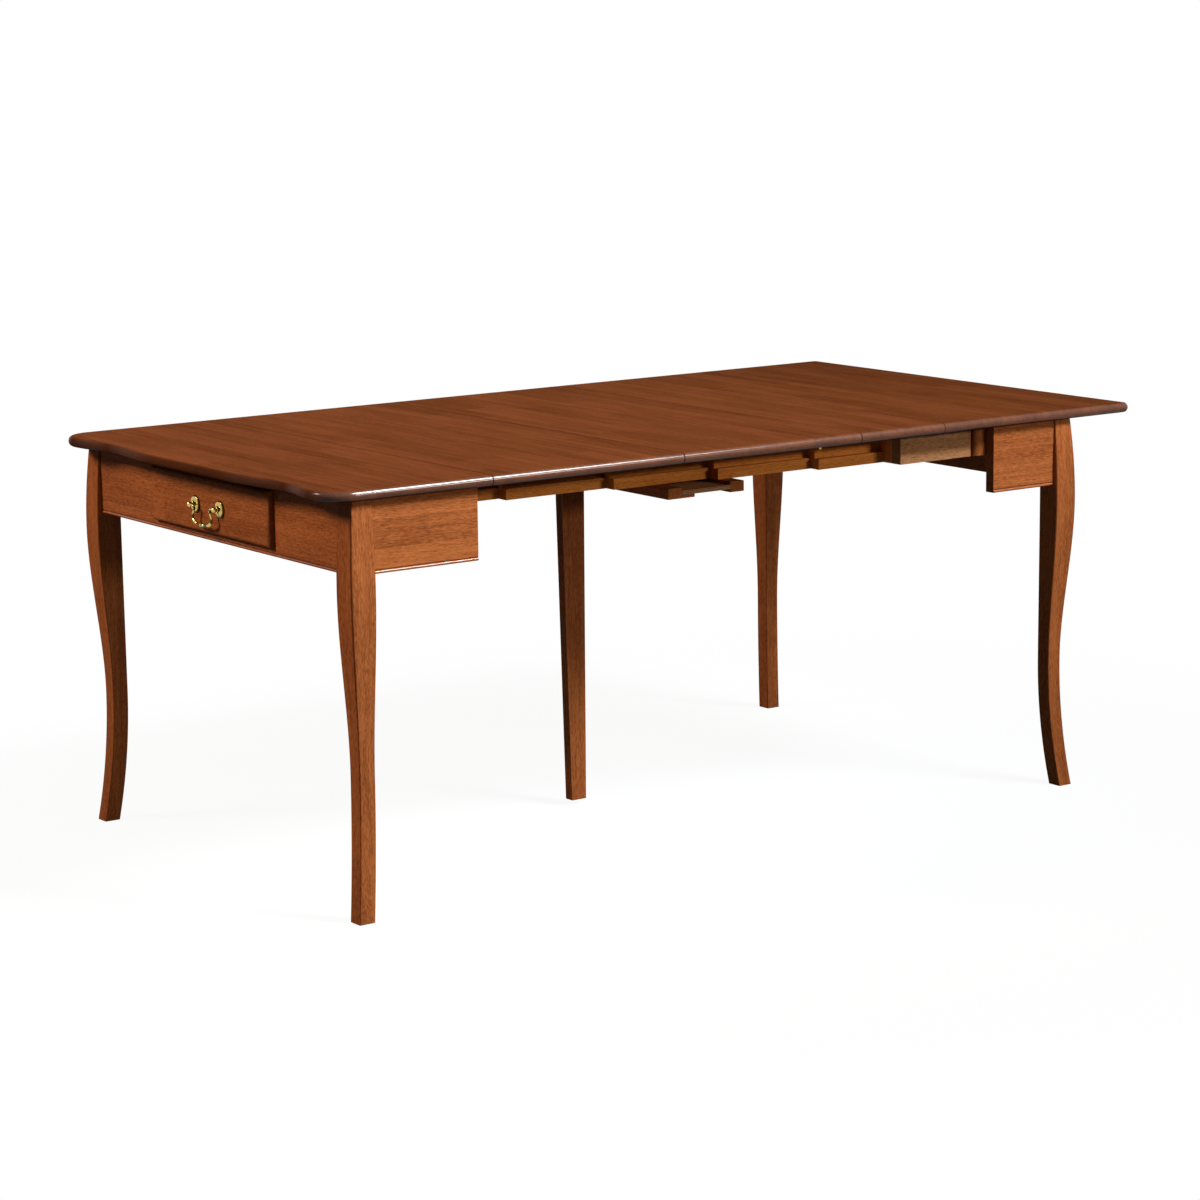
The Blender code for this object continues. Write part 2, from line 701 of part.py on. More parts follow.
def stop_screw_hole(name, start, side, face):
    """The pilot hole for a stop screw."""
    x, y, z = stop_screw_seat(start, face)
    depth = STOP_SCREW_SHANK_LENGTH + FIT_GAP
    radius = STOP_SCREW_SHANK_RADIUS + FIT_GAP
    return rod(name, radius, (x, side * (y + FIT_GAP), z), (x, side * (y - depth), z), 10)


def build_stop_screw(name, start, side, face, group):
    """A round-headed screw that stops a member's travel."""
    profile = dome(STOP_SCREW_HEAD_RADIUS, STOP_SCREW_HEAD_THICK, FIT_GAP, 4)
    profile += [(STOP_SCREW_SHANK_RADIUS, FIT_GAP)]
    profile += [(STOP_SCREW_SHANK_RADIUS, -STOP_SCREW_SHANK_LENGTH), (0.0, -STOP_SCREW_SHANK_LENGTH)]
    x, y, z = stop_screw_seat(start, face)
    screw = turned(name, profile, steps=10)
    screw.rotation_euler = (-side * math.pi / 2, 0.0, 0.0)
    screw.location = (x, side * y, z)
    return place(screw, BRASS, group)


def build_middle_support(group):
    """Cross rails and plate under the third slide members, with the straight middle leg."""
    for name, x in (("centre_rail_near", NEAR_RAIL_X), ("centre_rail_far", FAR_RAIL_X)):
        cross = board(
            name,
            (x - CENTRE_RAIL_WIDTH / 2, -RAIL_HALF_LENGTH, RAIL_BASE),
            (x + CENTRE_RAIL_WIDTH / 2, RAIL_HALF_LENGTH, RAIL_TOP))
        place(cross, FRAME_STAIN, group)
    tenon_x = PLATE_START + CLEAT_WIDTH / 2
    mortise = cutter(board(
        "mortise",
        (tenon_x - TENON_WIDTH / 2 - FIT_GAP, -TENON_THICK / 2 - FIT_GAP, RAIL_BASE - CENTRE_RAIL_THICK),
        (tenon_x + TENON_WIDTH / 2 + FIT_GAP, TENON_THICK / 2 + FIT_GAP, UNDERSIDE)))
    plate = board(
        "centre_plate",
        (PLATE_START, -RAIL_HALF_LENGTH, PLATE_BASE),
        (PLATE_END, RAIL_HALF_LENGTH, PLATE_TOP))
    place(carve(plate, mortise), PLYWOOD, group)
    cleat = board(
        "plate_cleat",
        (PLATE_START, -RAIL_HALF_LENGTH, RAIL_BASE),
        (PLATE_START + CLEAT_WIDTH, RAIL_HALF_LENGTH, PLATE_BASE - FIT_GAP))
    place(carve(cleat, mortise), FRAME_STAIN, group)
    build_centre_leg(tenon_x, group)


def build_centre_leg(tenon_x, group):
    """A straight flat leg, tapered mostly on its front edge, with a tenon on top."""
    foot_x = CENTRE_LEG_X + CENTRE_LEG_FRONT_TAPER
    outline = [
        (foot_x, CENTRE_LEG_FLOOR_GAP),
        (foot_x + CENTRE_LEG_FOOT_WIDTH, CENTRE_LEG_FLOOR_GAP),
        (CENTRE_LEG_X + CENTRE_LEG_TOP_WIDTH, LEG_SHOULDER),
        (CENTRE_LEG_X, LEG_SHOULDER)]
    leg = outline_solid("centre_leg", outline, CENTRE_LEG_THICK)
    leg.rotation_euler = (math.pi / 2, 0.0, 0.0)
    tenon = board(
        "tenon",
        (tenon_x - TENON_WIDTH / 2, -TENON_THICK / 2, LEG_SHOULDER - CENTRE_RAIL_THICK),
        (tenon_x + TENON_WIDTH / 2, TENON_THICK / 2, PLATE_TOP))
    carve(leg, cutter(tenon), "UNION")
    return place(leg, FRAME_STAIN, group)


def build_drawer(group):
    """Lipped front, grooved sides and back, and the bottom panel in its grooves."""
    front = board(
        "drawer_front",
        (DRAWER_FACE, -DRAWER_FRONT_WIDTH / 2, DRAWER_BASE),
        (DRAWER_FACE + DRAWER_LIP_THICK, DRAWER_FRONT_WIDTH / 2, DRAWER_TOP))
    round_front_edges(front)
    core = board(
        "drawer_front_core",
        (DRAWER_FACE + DRAWER_LIP_THICK / 2, -DRAWER_HALF, OPENING_BASE + DRAWER_SIDE_GAP),
        (DRAWER_CORE_BACK, DRAWER_HALF, OPENING_TOP - DRAWER_SIDE_GAP))
    carve(front, cutter(core), "UNION")
    groove_low = DRAWER_SIDE_BASE + DRAWER_GROOVE_RISE
    groove_high = groove_low + DRAWER_BOTTOM_THICK + 2 * FIT_GAP
    side_start = DRAWER_CORE_BACK + FIT_GAP
    inside = DRAWER_HALF - DRAWER_SIDE_THICK
    bottom_edge = inside + DRAWER_GROOVE_DEPTH
    groove = board(
        "front_groove",
        (DRAWER_CORE_BACK - DRAWER_GROOVE_DEPTH - FIT_GAP, -bottom_edge, groove_low),
        (DRAWER_CORE_BACK + DRAWER_GROOVE_DEPTH, bottom_edge, groove_high))
    carve(front, cutter(groove))
    for word, side in SIDES:
        y = side * PULL_SPACING / 2
        hole = rod(
            "stud_hole_" + word, STUD_RADIUS + FIT_GAP,
            (DRAWER_FACE - DRAWER_LIP_THICK, y, PULL_HEIGHT),
            (DRAWER_CORE_BACK + DRAWER_LIP_THICK, y, PULL_HEIGHT))
        carve(front, cutter(hole))
    place(front, FRAME_STAIN, group)
    side_top = DRAWER_SIDE_BASE + DRAWER_SIDE_HEIGHT
    groove_floor = DRAWER_SIDE_THICK - DRAWER_GROOVE_DEPTH - FIT_GAP
    section = [
        (0.0, DRAWER_SIDE_BASE),
        (DRAWER_SIDE_THICK, DRAWER_SIDE_BASE),
        (DRAWER_SIDE_THICK, groove_low),
        (groove_floor, groove_low),
        (groove_floor, groove_high),
        (DRAWER_SIDE_THICK, groove_high),
        (DRAWER_SIDE_THICK, side_top),
        (0.0, side_top)]
    for word, side in SIDES:
        wall = side_rail("drawer_side_" + word, section, side_start, DRAWER_END, side, DRAWER_HALF)
        place(wall, DRAWER_WOOD, group)
    back = board(
        "drawer_back",
        (DRAWER_END - DRAWER_SIDE_THICK, -inside + FIT_GAP, groove_high),
        (DRAWER_END, inside - FIT_GAP, side_top))
    place(back, DRAWER_WOOD, group)
    bottom = board(
        "drawer_bottom",
        (DRAWER_CORE_BACK - DRAWER_GROOVE_DEPTH, -bottom_edge + FIT_GAP, groove_low + FIT_GAP),
        (DRAWER_END, bottom_edge - FIT_GAP, groove_high - FIT_GAP))
    place(bottom, DRAWER_WOOD, group)


def round_front_edges(front):
    """Round over the four edges of the drawer front's outer face."""
    shape = bmesh.new()
    shape.from_mesh(front.data)
    outer = min(vert.co.x for vert in shape.verts)
    edges = [edge for edge in shape.edges if all(abs(vert.co.x - outer) < FIT_GAP for vert in edge.verts)]
    bmesh.ops.bevel(shape, geom=edges, offset=DRAWER_EDGE_BEVEL, segments=3, profile=0.5, affect="EDGES")
    shape.to_mesh(front.data)
    shape.free()


def build_pull(drawer, swing):
    """Brass posts with rosettes, their nuts, and the bail that swings between them."""
    profile = post_profile()
    for word, side in SIDES:
        y = side * PULL_SPACING / 2
        post = turned("pull_post_" + word, profile)
        post.rotation_euler = (0.0, -math.pi / 2, 0.0)
        post.location = (DRAWER_FACE, y, PULL_HEIGHT)
        inner = y - side * 2 * POST_BALL_RADIUS
        bore = rod(
            "bail_bore_" + word, BAIL_RADIUS + FIT_GAP,
            (BAIL_X, y, PULL_HEIGHT), (BAIL_X, inner, PULL_HEIGHT))
        carve(post, cutter(bore))
        place(post, BRASS, drawer)
        place(nut("pull_nut_" + word, y), BRASS, drawer)
    place(bail(), BRASS, swing)


def post_profile():
    """A post from its ball end down: neck, collar, domed rosette, and the stud through the drawer front."""
    ball = POST_BALL_RADIUS
    neck = POST_NECK_RADIUS
    ball_foot = -math.degrees(math.acos(neck / ball))
    profile = arc(0.0, POST_STANDOFF, ball, 90, ball_foot, 8)
    profile[0] = (0.0, POST_STANDOFF + ball)
    collar_top = POST_COLLAR_HEIGHT + POST_COLLAR_THICK / 2
    collar_base = POST_COLLAR_HEIGHT - POST_COLLAR_THICK / 2
    profile += [(neck, collar_top), (POST_COLLAR_RADIUS, POST_COLLAR_HEIGHT), (neck, collar_base)]
    profile += [point for point in dome(ROSETTE_RADIUS, ROSETTE_RISE, ROSETTE_RIM, 7) if point[0] > neck]
    stud_end = DRAWER_FACE - DRAWER_CORE_BACK - STUD_TAIL
    profile += [(ROSETTE_RADIUS, FIT_GAP), (STUD_RADIUS, FIT_GAP), (STUD_RADIUS, stud_end), (0.0, stud_end)]
    return profile


def nut(name, y):
    """A hexagon nut on a post's stud, inside the drawer."""
    start = DRAWER_CORE_BACK + FIT_GAP
    corner_radius = NUT_WIDTH / math.sqrt(3)
    part = rod(name, corner_radius, (start, y, PULL_HEIGHT), (start + NUT_THICK, y, PULL_HEIGHT), 6)
    hole = rod(
        name + "_hole", STUD_RADIUS + FIT_GAP,
        (start - NUT_THICK, y, PULL_HEIGHT), (start + 2 * NUT_THICK, y, PULL_HEIGHT))
    return carve(part, cutter(hole))


def bail_path(arm_steps=5, bottom_steps=12):
    """Points (y, z) along the bail from its left pin to the right one.

    Each pin turns down at a shoulder, the arm swings out to the belly, and a flattened arc
    closes the bottom.
    """
    shoulder = BAIL_SHOULDER_SPREAD / 2
    belly = BAIL_BELLY_SPREAD / 2
    turn = BAIL_SHOULDER_ROUND
    half = [(PULL_SPACING / 2 - BAIL_RADIUS / 2, 0.0)]
    half += arc(shoulder + turn, -turn, turn, 90, 180, 4)
    for step in range(1, arm_steps + 1):
        t = step / arm_steps
        y = shoulder + (belly - shoulder) * smoothstep(t, 0.0, 1.0)
        half.append((y, -turn - (BAIL_BELLY_DROP - turn) * t))
    for step in range(1, bottom_steps + 1):
        angle = step / bottom_steps * math.pi / 2
        y = belly * max(math.cos(angle), 0.0) ** BAIL_BOTTOM_FLATNESS
        half.append((y, -BAIL_BELLY_DROP - (BAIL_DROP - BAIL_BELLY_DROP) * math.sin(angle)))
    half[-1] = (0.0, -BAIL_DROP)
    return half + [(-y, z) for y, z in half[-2::-1]]


def bead_swell(y, z):
    """How much thicker than the wire the bail is, which only its middle bead makes more than 1."""
    near = 1.0 - smoothstep(abs(y), 0.0, BAIL_BEAD_LENGTH / 2)
    low = z < -BAIL_BELLY_DROP
    return 1.0 + (BAIL_BEAD_RADIUS / BAIL_RADIUS - 1.0) * near * low


def bail():
    """The bail as one bent wire that swells into a bead at its middle."""
    path = bail_path()
    curve = bpy.data.curves.new("pull_bail", "CURVE")
    curve.dimensions = "3D"
    curve.bevel_depth = BAIL_RADIUS
    curve.bevel_resolution = 2
    curve.use_fill_caps = True
    spline = curve.splines.new("POLY")
    spline.points.add(len(path) - 1)
    for point, (y, z) in zip(spline.points, path):
        point.co = (0.0, y, z, 1.0)
        point.radius = bead_swell(y, z)
    part = as_mesh(bpy.data.objects.new("pull_bail", curve))
    part.data.shade_smooth()
    part.location = (BAIL_X, 0.0, PULL_HEIGHT)
    return part


def main():
    """Build the table."""
    near = pivot("near_frame", (NEAR_SEAM, 0.0, UNDERSIDE))
    drawer = pivot("drawer", (DRAWER_FACE, 0.0, PULL_HEIGHT), near)
    swing = pivot("bail_swing", (BAIL_X, 0.0, PULL_HEIGHT), drawer)
    stages = {"slide_a": near, "slide_f": None}
    for letter in "bcde":
        stages["slide_" + letter] = pivot("stage_" + letter, (SLIDE_B_START, 0.0, SLIDE_BASE))
    tops = {"near_top": near, "far_top": None}
    for index, seam in enumerate(SEAMS[:-1]):
        name = "leaf_%d" % (index + 1)
        tops[name] = pivot(name + "_lift", (seam, 0.0, UNDERSIDE))
    build_tops(tops)
    build_near_frame(near)
    build_far_frame(None)
    build_slides(stages)
    build_middle_support(stages["slide_c"])
    build_drawer(drawer)
    build_pull(drawer, swing)


main()
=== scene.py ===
"""Looks of an extendable console table: its boards, curved legs, wooden slides and brass pull.

Every piece is dressed over the solid of the same name, in metres, in the solids' own frame.
X runs along the table with the drawer end at -X, Y runs across it and Z is up.
"""

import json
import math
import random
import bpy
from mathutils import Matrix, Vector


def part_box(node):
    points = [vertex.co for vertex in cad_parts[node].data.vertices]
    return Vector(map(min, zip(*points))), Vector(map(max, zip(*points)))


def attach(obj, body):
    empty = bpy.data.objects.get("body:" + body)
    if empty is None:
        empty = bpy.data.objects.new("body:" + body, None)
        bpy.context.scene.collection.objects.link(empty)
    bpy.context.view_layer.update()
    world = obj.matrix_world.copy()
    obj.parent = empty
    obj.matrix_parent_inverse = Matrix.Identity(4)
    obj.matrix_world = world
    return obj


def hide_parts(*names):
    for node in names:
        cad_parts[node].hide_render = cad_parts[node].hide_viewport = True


bl_info = {
    "name": "Extendable Console Table",
    "version": (1, 0, 0),
    "blender": (4, 5, 0),
    "location": "View3D > Sidebar > Table",
    "description": "Finishes for an extending console table with a drawer, leaves and wooden slides",
    "category": "Object",
}

import bmesh
import bpy
import numpy as np
from bpy.props import FloatProperty, FloatVectorProperty, IntProperty, PointerProperty
from mathutils import Matrix, Vector

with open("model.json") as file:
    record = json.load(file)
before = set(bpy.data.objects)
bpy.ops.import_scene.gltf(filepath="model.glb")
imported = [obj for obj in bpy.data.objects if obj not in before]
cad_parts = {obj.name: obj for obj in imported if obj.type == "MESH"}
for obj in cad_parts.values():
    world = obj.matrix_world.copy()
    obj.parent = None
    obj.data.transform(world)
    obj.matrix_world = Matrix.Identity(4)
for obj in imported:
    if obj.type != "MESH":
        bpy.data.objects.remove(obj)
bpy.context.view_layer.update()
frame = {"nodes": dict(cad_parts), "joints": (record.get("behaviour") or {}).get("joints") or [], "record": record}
NODES = frame["nodes"]
RECORD = frame["record"]
BODY_OF = {node: body for body, nodes in RECORD["behaviour"]["bodies"].items() for node in nodes}
SLOT_OF = {row["node"]: row["material_slot"] for row in RECORD["subparts"]}
SIDES = (("left", 1.0), ("right", -1.0))


def length(name, description, default):
    """A size in metres."""
    return FloatProperty(name=name, description=description, default=default, precision=4, unit="LENGTH")


def share(name, description, default):
    """A plain number."""
    return FloatProperty(name=name, description=description, default=default, precision=3)


def angle(name, description, degrees):
    """An angle, written in degrees."""
    return FloatProperty(name=name, description=description, default=math.radians(degrees), subtype="ANGLE")


def colour(name, description, default):
    """A linear colour."""
    return FloatVectorProperty(
        name=name, description=description, default=default, size=3, min=0.0, max=1.0, subtype="COLOR")


def size_pair(name, description, default):
    """A width and a height in metres."""
    return FloatVectorProperty(name=name, description=description, default=default, size=2, unit="LENGTH")


def place(name, description, default):
    """A point in metres."""
    return FloatVectorProperty(name=name, description=description, default=default, size=3, subtype="XYZ")


class TopSizes(bpy.types.PropertyGroup):
    """Shape of the top's edge and of its serpentine front."""

    edge_round: length("Edge round", "Radius of the bullnose", 0.0092)
    seam_ease: length("Seam ease", "Chamfer where two boards meet", 0.0013)
    near_corner: length("Front corner", "Corner radius beside the drawer", 0.060)
    far_corner: length("Back corner", "Corner radius at the back end", 0.014)
    ear_from_side: length("Ear", "Where the front edge comes forward again, in from the side", 0.062)
    dip_from_side: length("Dip", "Where the front edge is set back most, in from the side", 0.170)
    bulge_from_side: length("Bulge", "Where the middle bulge ends, in from the side", 0.365)
    ear_setback: length("Ear set-back", "How far the ears stay behind the bulge", 0.001)
    dip_setback: length("Dip set-back", "How far the dips stay behind the bulge", 0.015)


class LegSizes(bpy.types.PropertyGroup):
    """Shape of the S-curved legs."""

    foot: length("Foot", "Width of the square foot", 0.032)
    ankle_height: length("Ankle height", "Where the leg is drawn in most", 0.255)
    ankle_setback: length("Ankle set-back", "How far the ankle is drawn in", 0.018)
    knee_drop: length("Knee drop", "How far the knee lies under the top", 0.1625)
    knee_swell: length("Knee swell", "How far the knee stands proud of the foot", 0.001)
    top_setback: length("Top set-back", "How far the leg leans in under the top", 0.0078)
    inner_swell: length("Inner swell", "How much wider the leg is above the ankle", 0.018)
    foot_slope: share("Foot slope", "Lean of the curve at the floor", 0.14)
    top_slope: share("Top slope", "Lean of the curve under the top", 0.10)
    corner: share("Corner", "Rounding of the leg's edges, as a share of its half width", 0.15)
    rings: IntProperty(name="Rings", description="Cross sections along a leg", default=56, min=8)


class PullSizes(bpy.types.PropertyGroup):
    """Shape of the brass bail pull."""

    rosette: length("Rosette", "Radius of the domed rosettes", 0.0155)
    rosette_rim: length("Rosette rim", "Thickness of a rosette's rim", 0.0015)
    rosette_rise: length("Rosette rise", "Height of a rosette's dome over its rim", 0.0045)
    neck: length("Neck", "Radius of a post's neck", 0.0033)
    collar: length("Collar", "Radius of a post's collar", 0.0050)
    collar_height: length("Collar height", "How far the collar stands off the drawer", 0.0075)
    collar_thick: length("Collar thickness", "Width of the collar", 0.0018)
    ball: length("Ball", "Radius of the ball that holds the bail", 0.0051)
    wire: length("Wire", "Radius of the bail's wire", 0.0021)
    shoulder_spread: length("Shoulders", "Distance between the bail's shoulders", 0.058)
    belly_spread: length("Belly", "Widest distance between the bail's arms", 0.068)
    belly_drop: length("Belly drop", "How far down the bail is widest", 0.020)
    bail_drop: length("Bail drop", "How far the bail hangs", 0.033)
    shoulder_round: length("Shoulder round", "Bend radius at the bail's shoulders", 0.004)
    bead: length("Bead", "Radius of the bail's middle bead", 0.0036)
    bead_length: length("Bead length", "Length of the middle bead", 0.013)
    ring: length("Ring", "Radius of the small rings beside the bead", 0.0030)
    leaf: length("Leaf", "Radius of the swellings at the bail's lower corners", 0.0031)
    leaf_length: length("Leaf length", "Length of the swellings at the bail's lower corners", 0.017)
    bottom_flatness: share("Bottom flatness", "Below 1 the bail's bottom is flatter than an ellipse", 0.7)


class WoodSizes(bpy.types.PropertyGroup):
    """Small sizes of the woodwork."""

    ease: length("Eased edge", "Width of the sanded edges of show wood", 0.0009)
    slide_ease: length("Slide edge", "Width of the sanded edges of the slides and blocks", 0.0006)
    bead: length("Bead", "Height of the bead along the aprons", 0.0062)
    quirk: length("Quirk", "Height of the groove over the bead", 0.0018)
    screw_head: length("Screw head", "Radius of the screw heads", 0.0034)
    screw_rise: length("Screw rise", "Height of the screw heads", 0.0020)
    stop_inset: length("Stop inset", "Distance of a stop screw from its slide's end", 0.014)


class Finishes(bpy.types.PropertyGroup):
    """Colours of the finishes, each from its darkest to its lightest streak."""

    top_dark: colour("Top, dark", "Darkest streaks of the top", (0.055, 0.0149, 0.0046))
    top_light: colour("Top, light", "Lightest streaks of the top", (0.131, 0.0380, 0.0122))
    frame_dark: colour("Frame, dark", "Darkest streaks of legs and aprons", (0.165, 0.043, 0.0110))
    frame_light: colour("Frame, light", "Lightest streaks of legs and aprons", (0.400, 0.122, 0.0350))
    slide_dark: colour("Slides, dark", "Darkest streaks of the slides", (0.480, 0.145, 0.0230))
    slide_light: colour("Slides, light", "Lightest streaks of the slides", (0.820, 0.285, 0.0610))
    block_dark: colour("Blocks, dark", "Darkest streaks of the unstained blocks", (0.170, 0.072, 0.0290))
    block_light: colour("Blocks, light", "Lightest streaks of the unstained blocks", (0.420, 0.195, 0.0850))
    ply_dark: colour("Plywood, dark", "Cross plies", (0.120, 0.046, 0.0160))
    ply_light: colour("Plywood, light", "Long plies", (0.420, 0.190, 0.0750))
    drawer_dark: colour("Drawer, dark", "Darkest streaks of the drawer's inside", (0.330, 0.190, 0.0850))
    drawer_light: colour("Drawer, light", "Lightest streaks of the drawer's inside", (0.600, 0.410, 0.2250))
    # The dark brass stands for patina and painted shade in the hollows, and for painted dark reflections in the
    # smudges
    brass_dark: colour("Brass, dark", "Brass in its hollows", (0.050, 0.034, 0.0080))
    brass_light: colour("Brass, light", "Polished brass", (0.560, 0.410, 0.1100))


class StageSizes(bpy.types.PropertyGroup):
    """Camera, floor and lamps."""

    camera: place("Camera", "Where the camera stands", (-3.8818, -5.3929, 1.6278))
    camera_azimuth: angle("Camera azimuth", "Way the camera faces, about Z from +Y", -35.6244)
    camera_elevation: angle("Camera elevation", "How far the camera looks down", 10.4624)
    camera_roll: angle("Camera roll", "Tilt of the camera about its own axis", -0.7025)
    camera_lens: share("Camera lens", "Focal length in millimetres", 102.80)
    camera_sensor: share("Camera sensor", "Width of the sensor in millimetres", 36.0)
    floor_size: length("Floor", "Side of the floor", 60.0)
    floor_shade: share("Floor shade", "Share of the floor's own shading that the camera sees", 0.07)
    floor_fade: length("Floor fade", "Distance at which the floor has turned to plain white", 2.1)
    floor_grey: share("Floor grey", "Brightness of the light that the floor throws back", 0.12)
    ambient: share("Ambient", "Light from all around", 0.085)
    front_lamp: place("Front lamp", "Softbox before the drawer", (-4.05, 1.60, 3.30))
    front_aim: place("Front aim", "What the front lamp points at", (-0.88, -0.45, 1.10))
    front_size: size_pair("Front size", "Width and height of the front lamp", (1.20, 1.20))
    front_power: share("Front power", "Watts of the front lamp", 42.0)
    front_spread: angle("Front spread", "Angle that the front lamp shines over", 80.0)
    front_tint: colour("Front tint", "Colour of the front lamp", (1.0, 0.81, 0.68))
    high_lamp: place("High lamp", "Softbox above the table's long side", (1.64, -3.08, 4.20))
    high_aim: place("High aim", "What the high lamp points at", (-0.02, -0.35, 2.00))
    high_size: size_pair("High size", "Width and height of the high lamp", (1.75, 1.60))
    high_power: share("High power", "Watts of the high lamp", 101.0)
    high_spread: angle("High spread", "Angle that the high lamp shines over", 62.0)
    high_tint: colour("High tint", "Colour of the high lamp", (0.90, 0.95, 1.0))
    low_lamp: place("Low lamp", "Softbox that looks in under the top's long side", (2.60, -5.60, 2.05))
    low_aim: place("Low aim", "What the low lamp points at", (0.0, -0.30, 0.72))
    low_size: size_pair("Low size", "Width and height of the low lamp", (1.20, 0.45))
    low_power: share("Low power", "Watts of the low lamp", 106.0)
    low_spread: angle("Low spread", "Angle that the low lamp shines over", 180.0)
    low_tint: colour("Low tint", "Colour of the low lamp", (1.0, 0.95, 0.88))


class Wire:
    """A node's output that takes part in Python expressions; arithmetic adds Math nodes."""

    def __init__(self, tree, socket=None):
        self.tree = tree
        self.socket = socket

    def node(self, kind, settings=None, sockets=None, output=0):
        """Add a node: its settings first, then its sockets' values or links; gives one output."""
        made = self.tree.nodes.new(kind)
        for key, value in (settings or {}).items():
            setattr(made, key, value)
        self.feed(made, sockets or {})
        return Wire(self.tree, made.outputs[output] if made.outputs else None)

    def feed(self, node, sockets):
        """Link wires to a node's sockets, and set plain values on them."""
        for key, value in sockets.items():
            if isinstance(value, Wire):
                self.tree.links.new(value.socket, node.inputs[key])
            else:
                node.inputs[key].default_value = value

    def other(self, output):
        """Another output of the same node."""
        return Wire(self.tree, self.socket.node.outputs[output])

    def math(self, operation, *values):
        """A Math node on values."""
        return self.node("ShaderNodeMath", {"operation": operation}, dict(enumerate(values)))

    def __add__(self, value):
        return self.math("ADD", self, value)

    def __radd__(self, value):
        return self.math("ADD", value, self)

    def __sub__(self, value):
        return self.math("SUBTRACT", self, value)

    def __rsub__(self, value):
        return self.math("SUBTRACT", value, self)

    def __mul__(self, value):
        return self.math("MULTIPLY", self, value)

    def __rmul__(self, value):
        return self.math("MULTIPLY", value, self)

    def __truediv__(self, value):
        return self.math("DIVIDE", self, value)

    def __rtruediv__(self, value):
        return self.math("DIVIDE", value, self)


# Materials

# Layers of the wood's figure: features to the metre along and across the grain, detail, roughness
DRIFT = (1.3, 9.0, 2.0, 0.5)
CLOUD = (3.6, 24.0, 3.0, 0.5)
STREAK = (1.3, 120.0, 3.0, 0.6)
FIBRE = (18.0, 560.0, 3.0, 0.7)
FLECK = (85.0, 620.0, 2.0, 0.6)
PORE = (105.0, 850.0, 1.0, 0.5)
DRIFT_WIDTH = 0.022
STAVE_WIDTH = 0.052
STAVE_LENGTH = 0.46
PLY_PAIR = 0.0030
PLY_WANDER = 0.0005


def new_material(name):
    """A material, the wire that adds its nodes, and its Principled shader."""
    material = bpy.data.materials.new(name)
    material.use_nodes = True
    return material, Wire(material.node_tree), material.node_tree.nodes["Principled BSDF"]


def attribute(net, name, output="Fac"):
    """What a piece's mesh keeps at each point under a name."""
    return net.node("ShaderNodeAttribute", {"attribute_name": name}, output=output)


def mix(net, factor, first, second):
    """Two colours mixed."""
    return net.node("ShaderNodeMix", {"data_type": "RGBA"}, {0: factor, 6: first, 7: second}, 2)


def noise(net, vector, stretch, detail=2.0, roughness=0.5):
    """Noise with so many features to the metre in each direction."""
    scaled = net.node("ShaderNodeMapping", {"vector_type": "POINT"}, {"Vector": vector, "Scale": stretch})
    return net.node("ShaderNodeTexNoise", {}, {
        "Vector": scaled, "Scale": 1.0, "Detail": detail, "Roughness": roughness})


def figure(net, vector, along, across, detail, roughness):
    """Noise about zero, drawn out along the grain."""
    return noise(net, vector, (along, across, across), detail, roughness) - 0.5


def step(net, value, low, high):
    """0 under low, 1 over high and a smooth rise between."""
    return net.node(
        "ShaderNodeMapRange", {"interpolation_type": "SMOOTHSTEP"},
        {"Value": value, "From Min": low, "From Max": high})


def bump(net, height, strength, distance):
    """Relief that is too fine to model."""
    values = {"Strength": strength, "Distance": distance, "Height": height}
    return net.node("ShaderNodeBump", {}, values, "Normal")


def solid(shade, strength=1.0):
    """A colour property, made lighter or darker, as the four numbers that a socket takes."""
    return (*(min(part * strength, 1.0) for part in shade), 1.0)


def staves(net, grain, width, long):
    """A tone from 0 to 1 for each of the strips that a board is glued up from."""
    parts = net.node("ShaderNodeSeparateXYZ", {}, {0: grain})
    row = net.math("FLOOR", parts.other("Y") / width)
    start = net.node("ShaderNodeTexWhiteNoise", {"noise_dimensions": "1D"}, {"W": row}, "Value")
    column = net.math("FLOOR", parts.other("X") / long + start)
    cell = net.node("ShaderNodeCombineXYZ", {}, {"X": row, "Y": column})
    return net.node("ShaderNodeTexWhiteNoise", {"noise_dimensions": "2D"}, {"Vector": cell}, "Value")


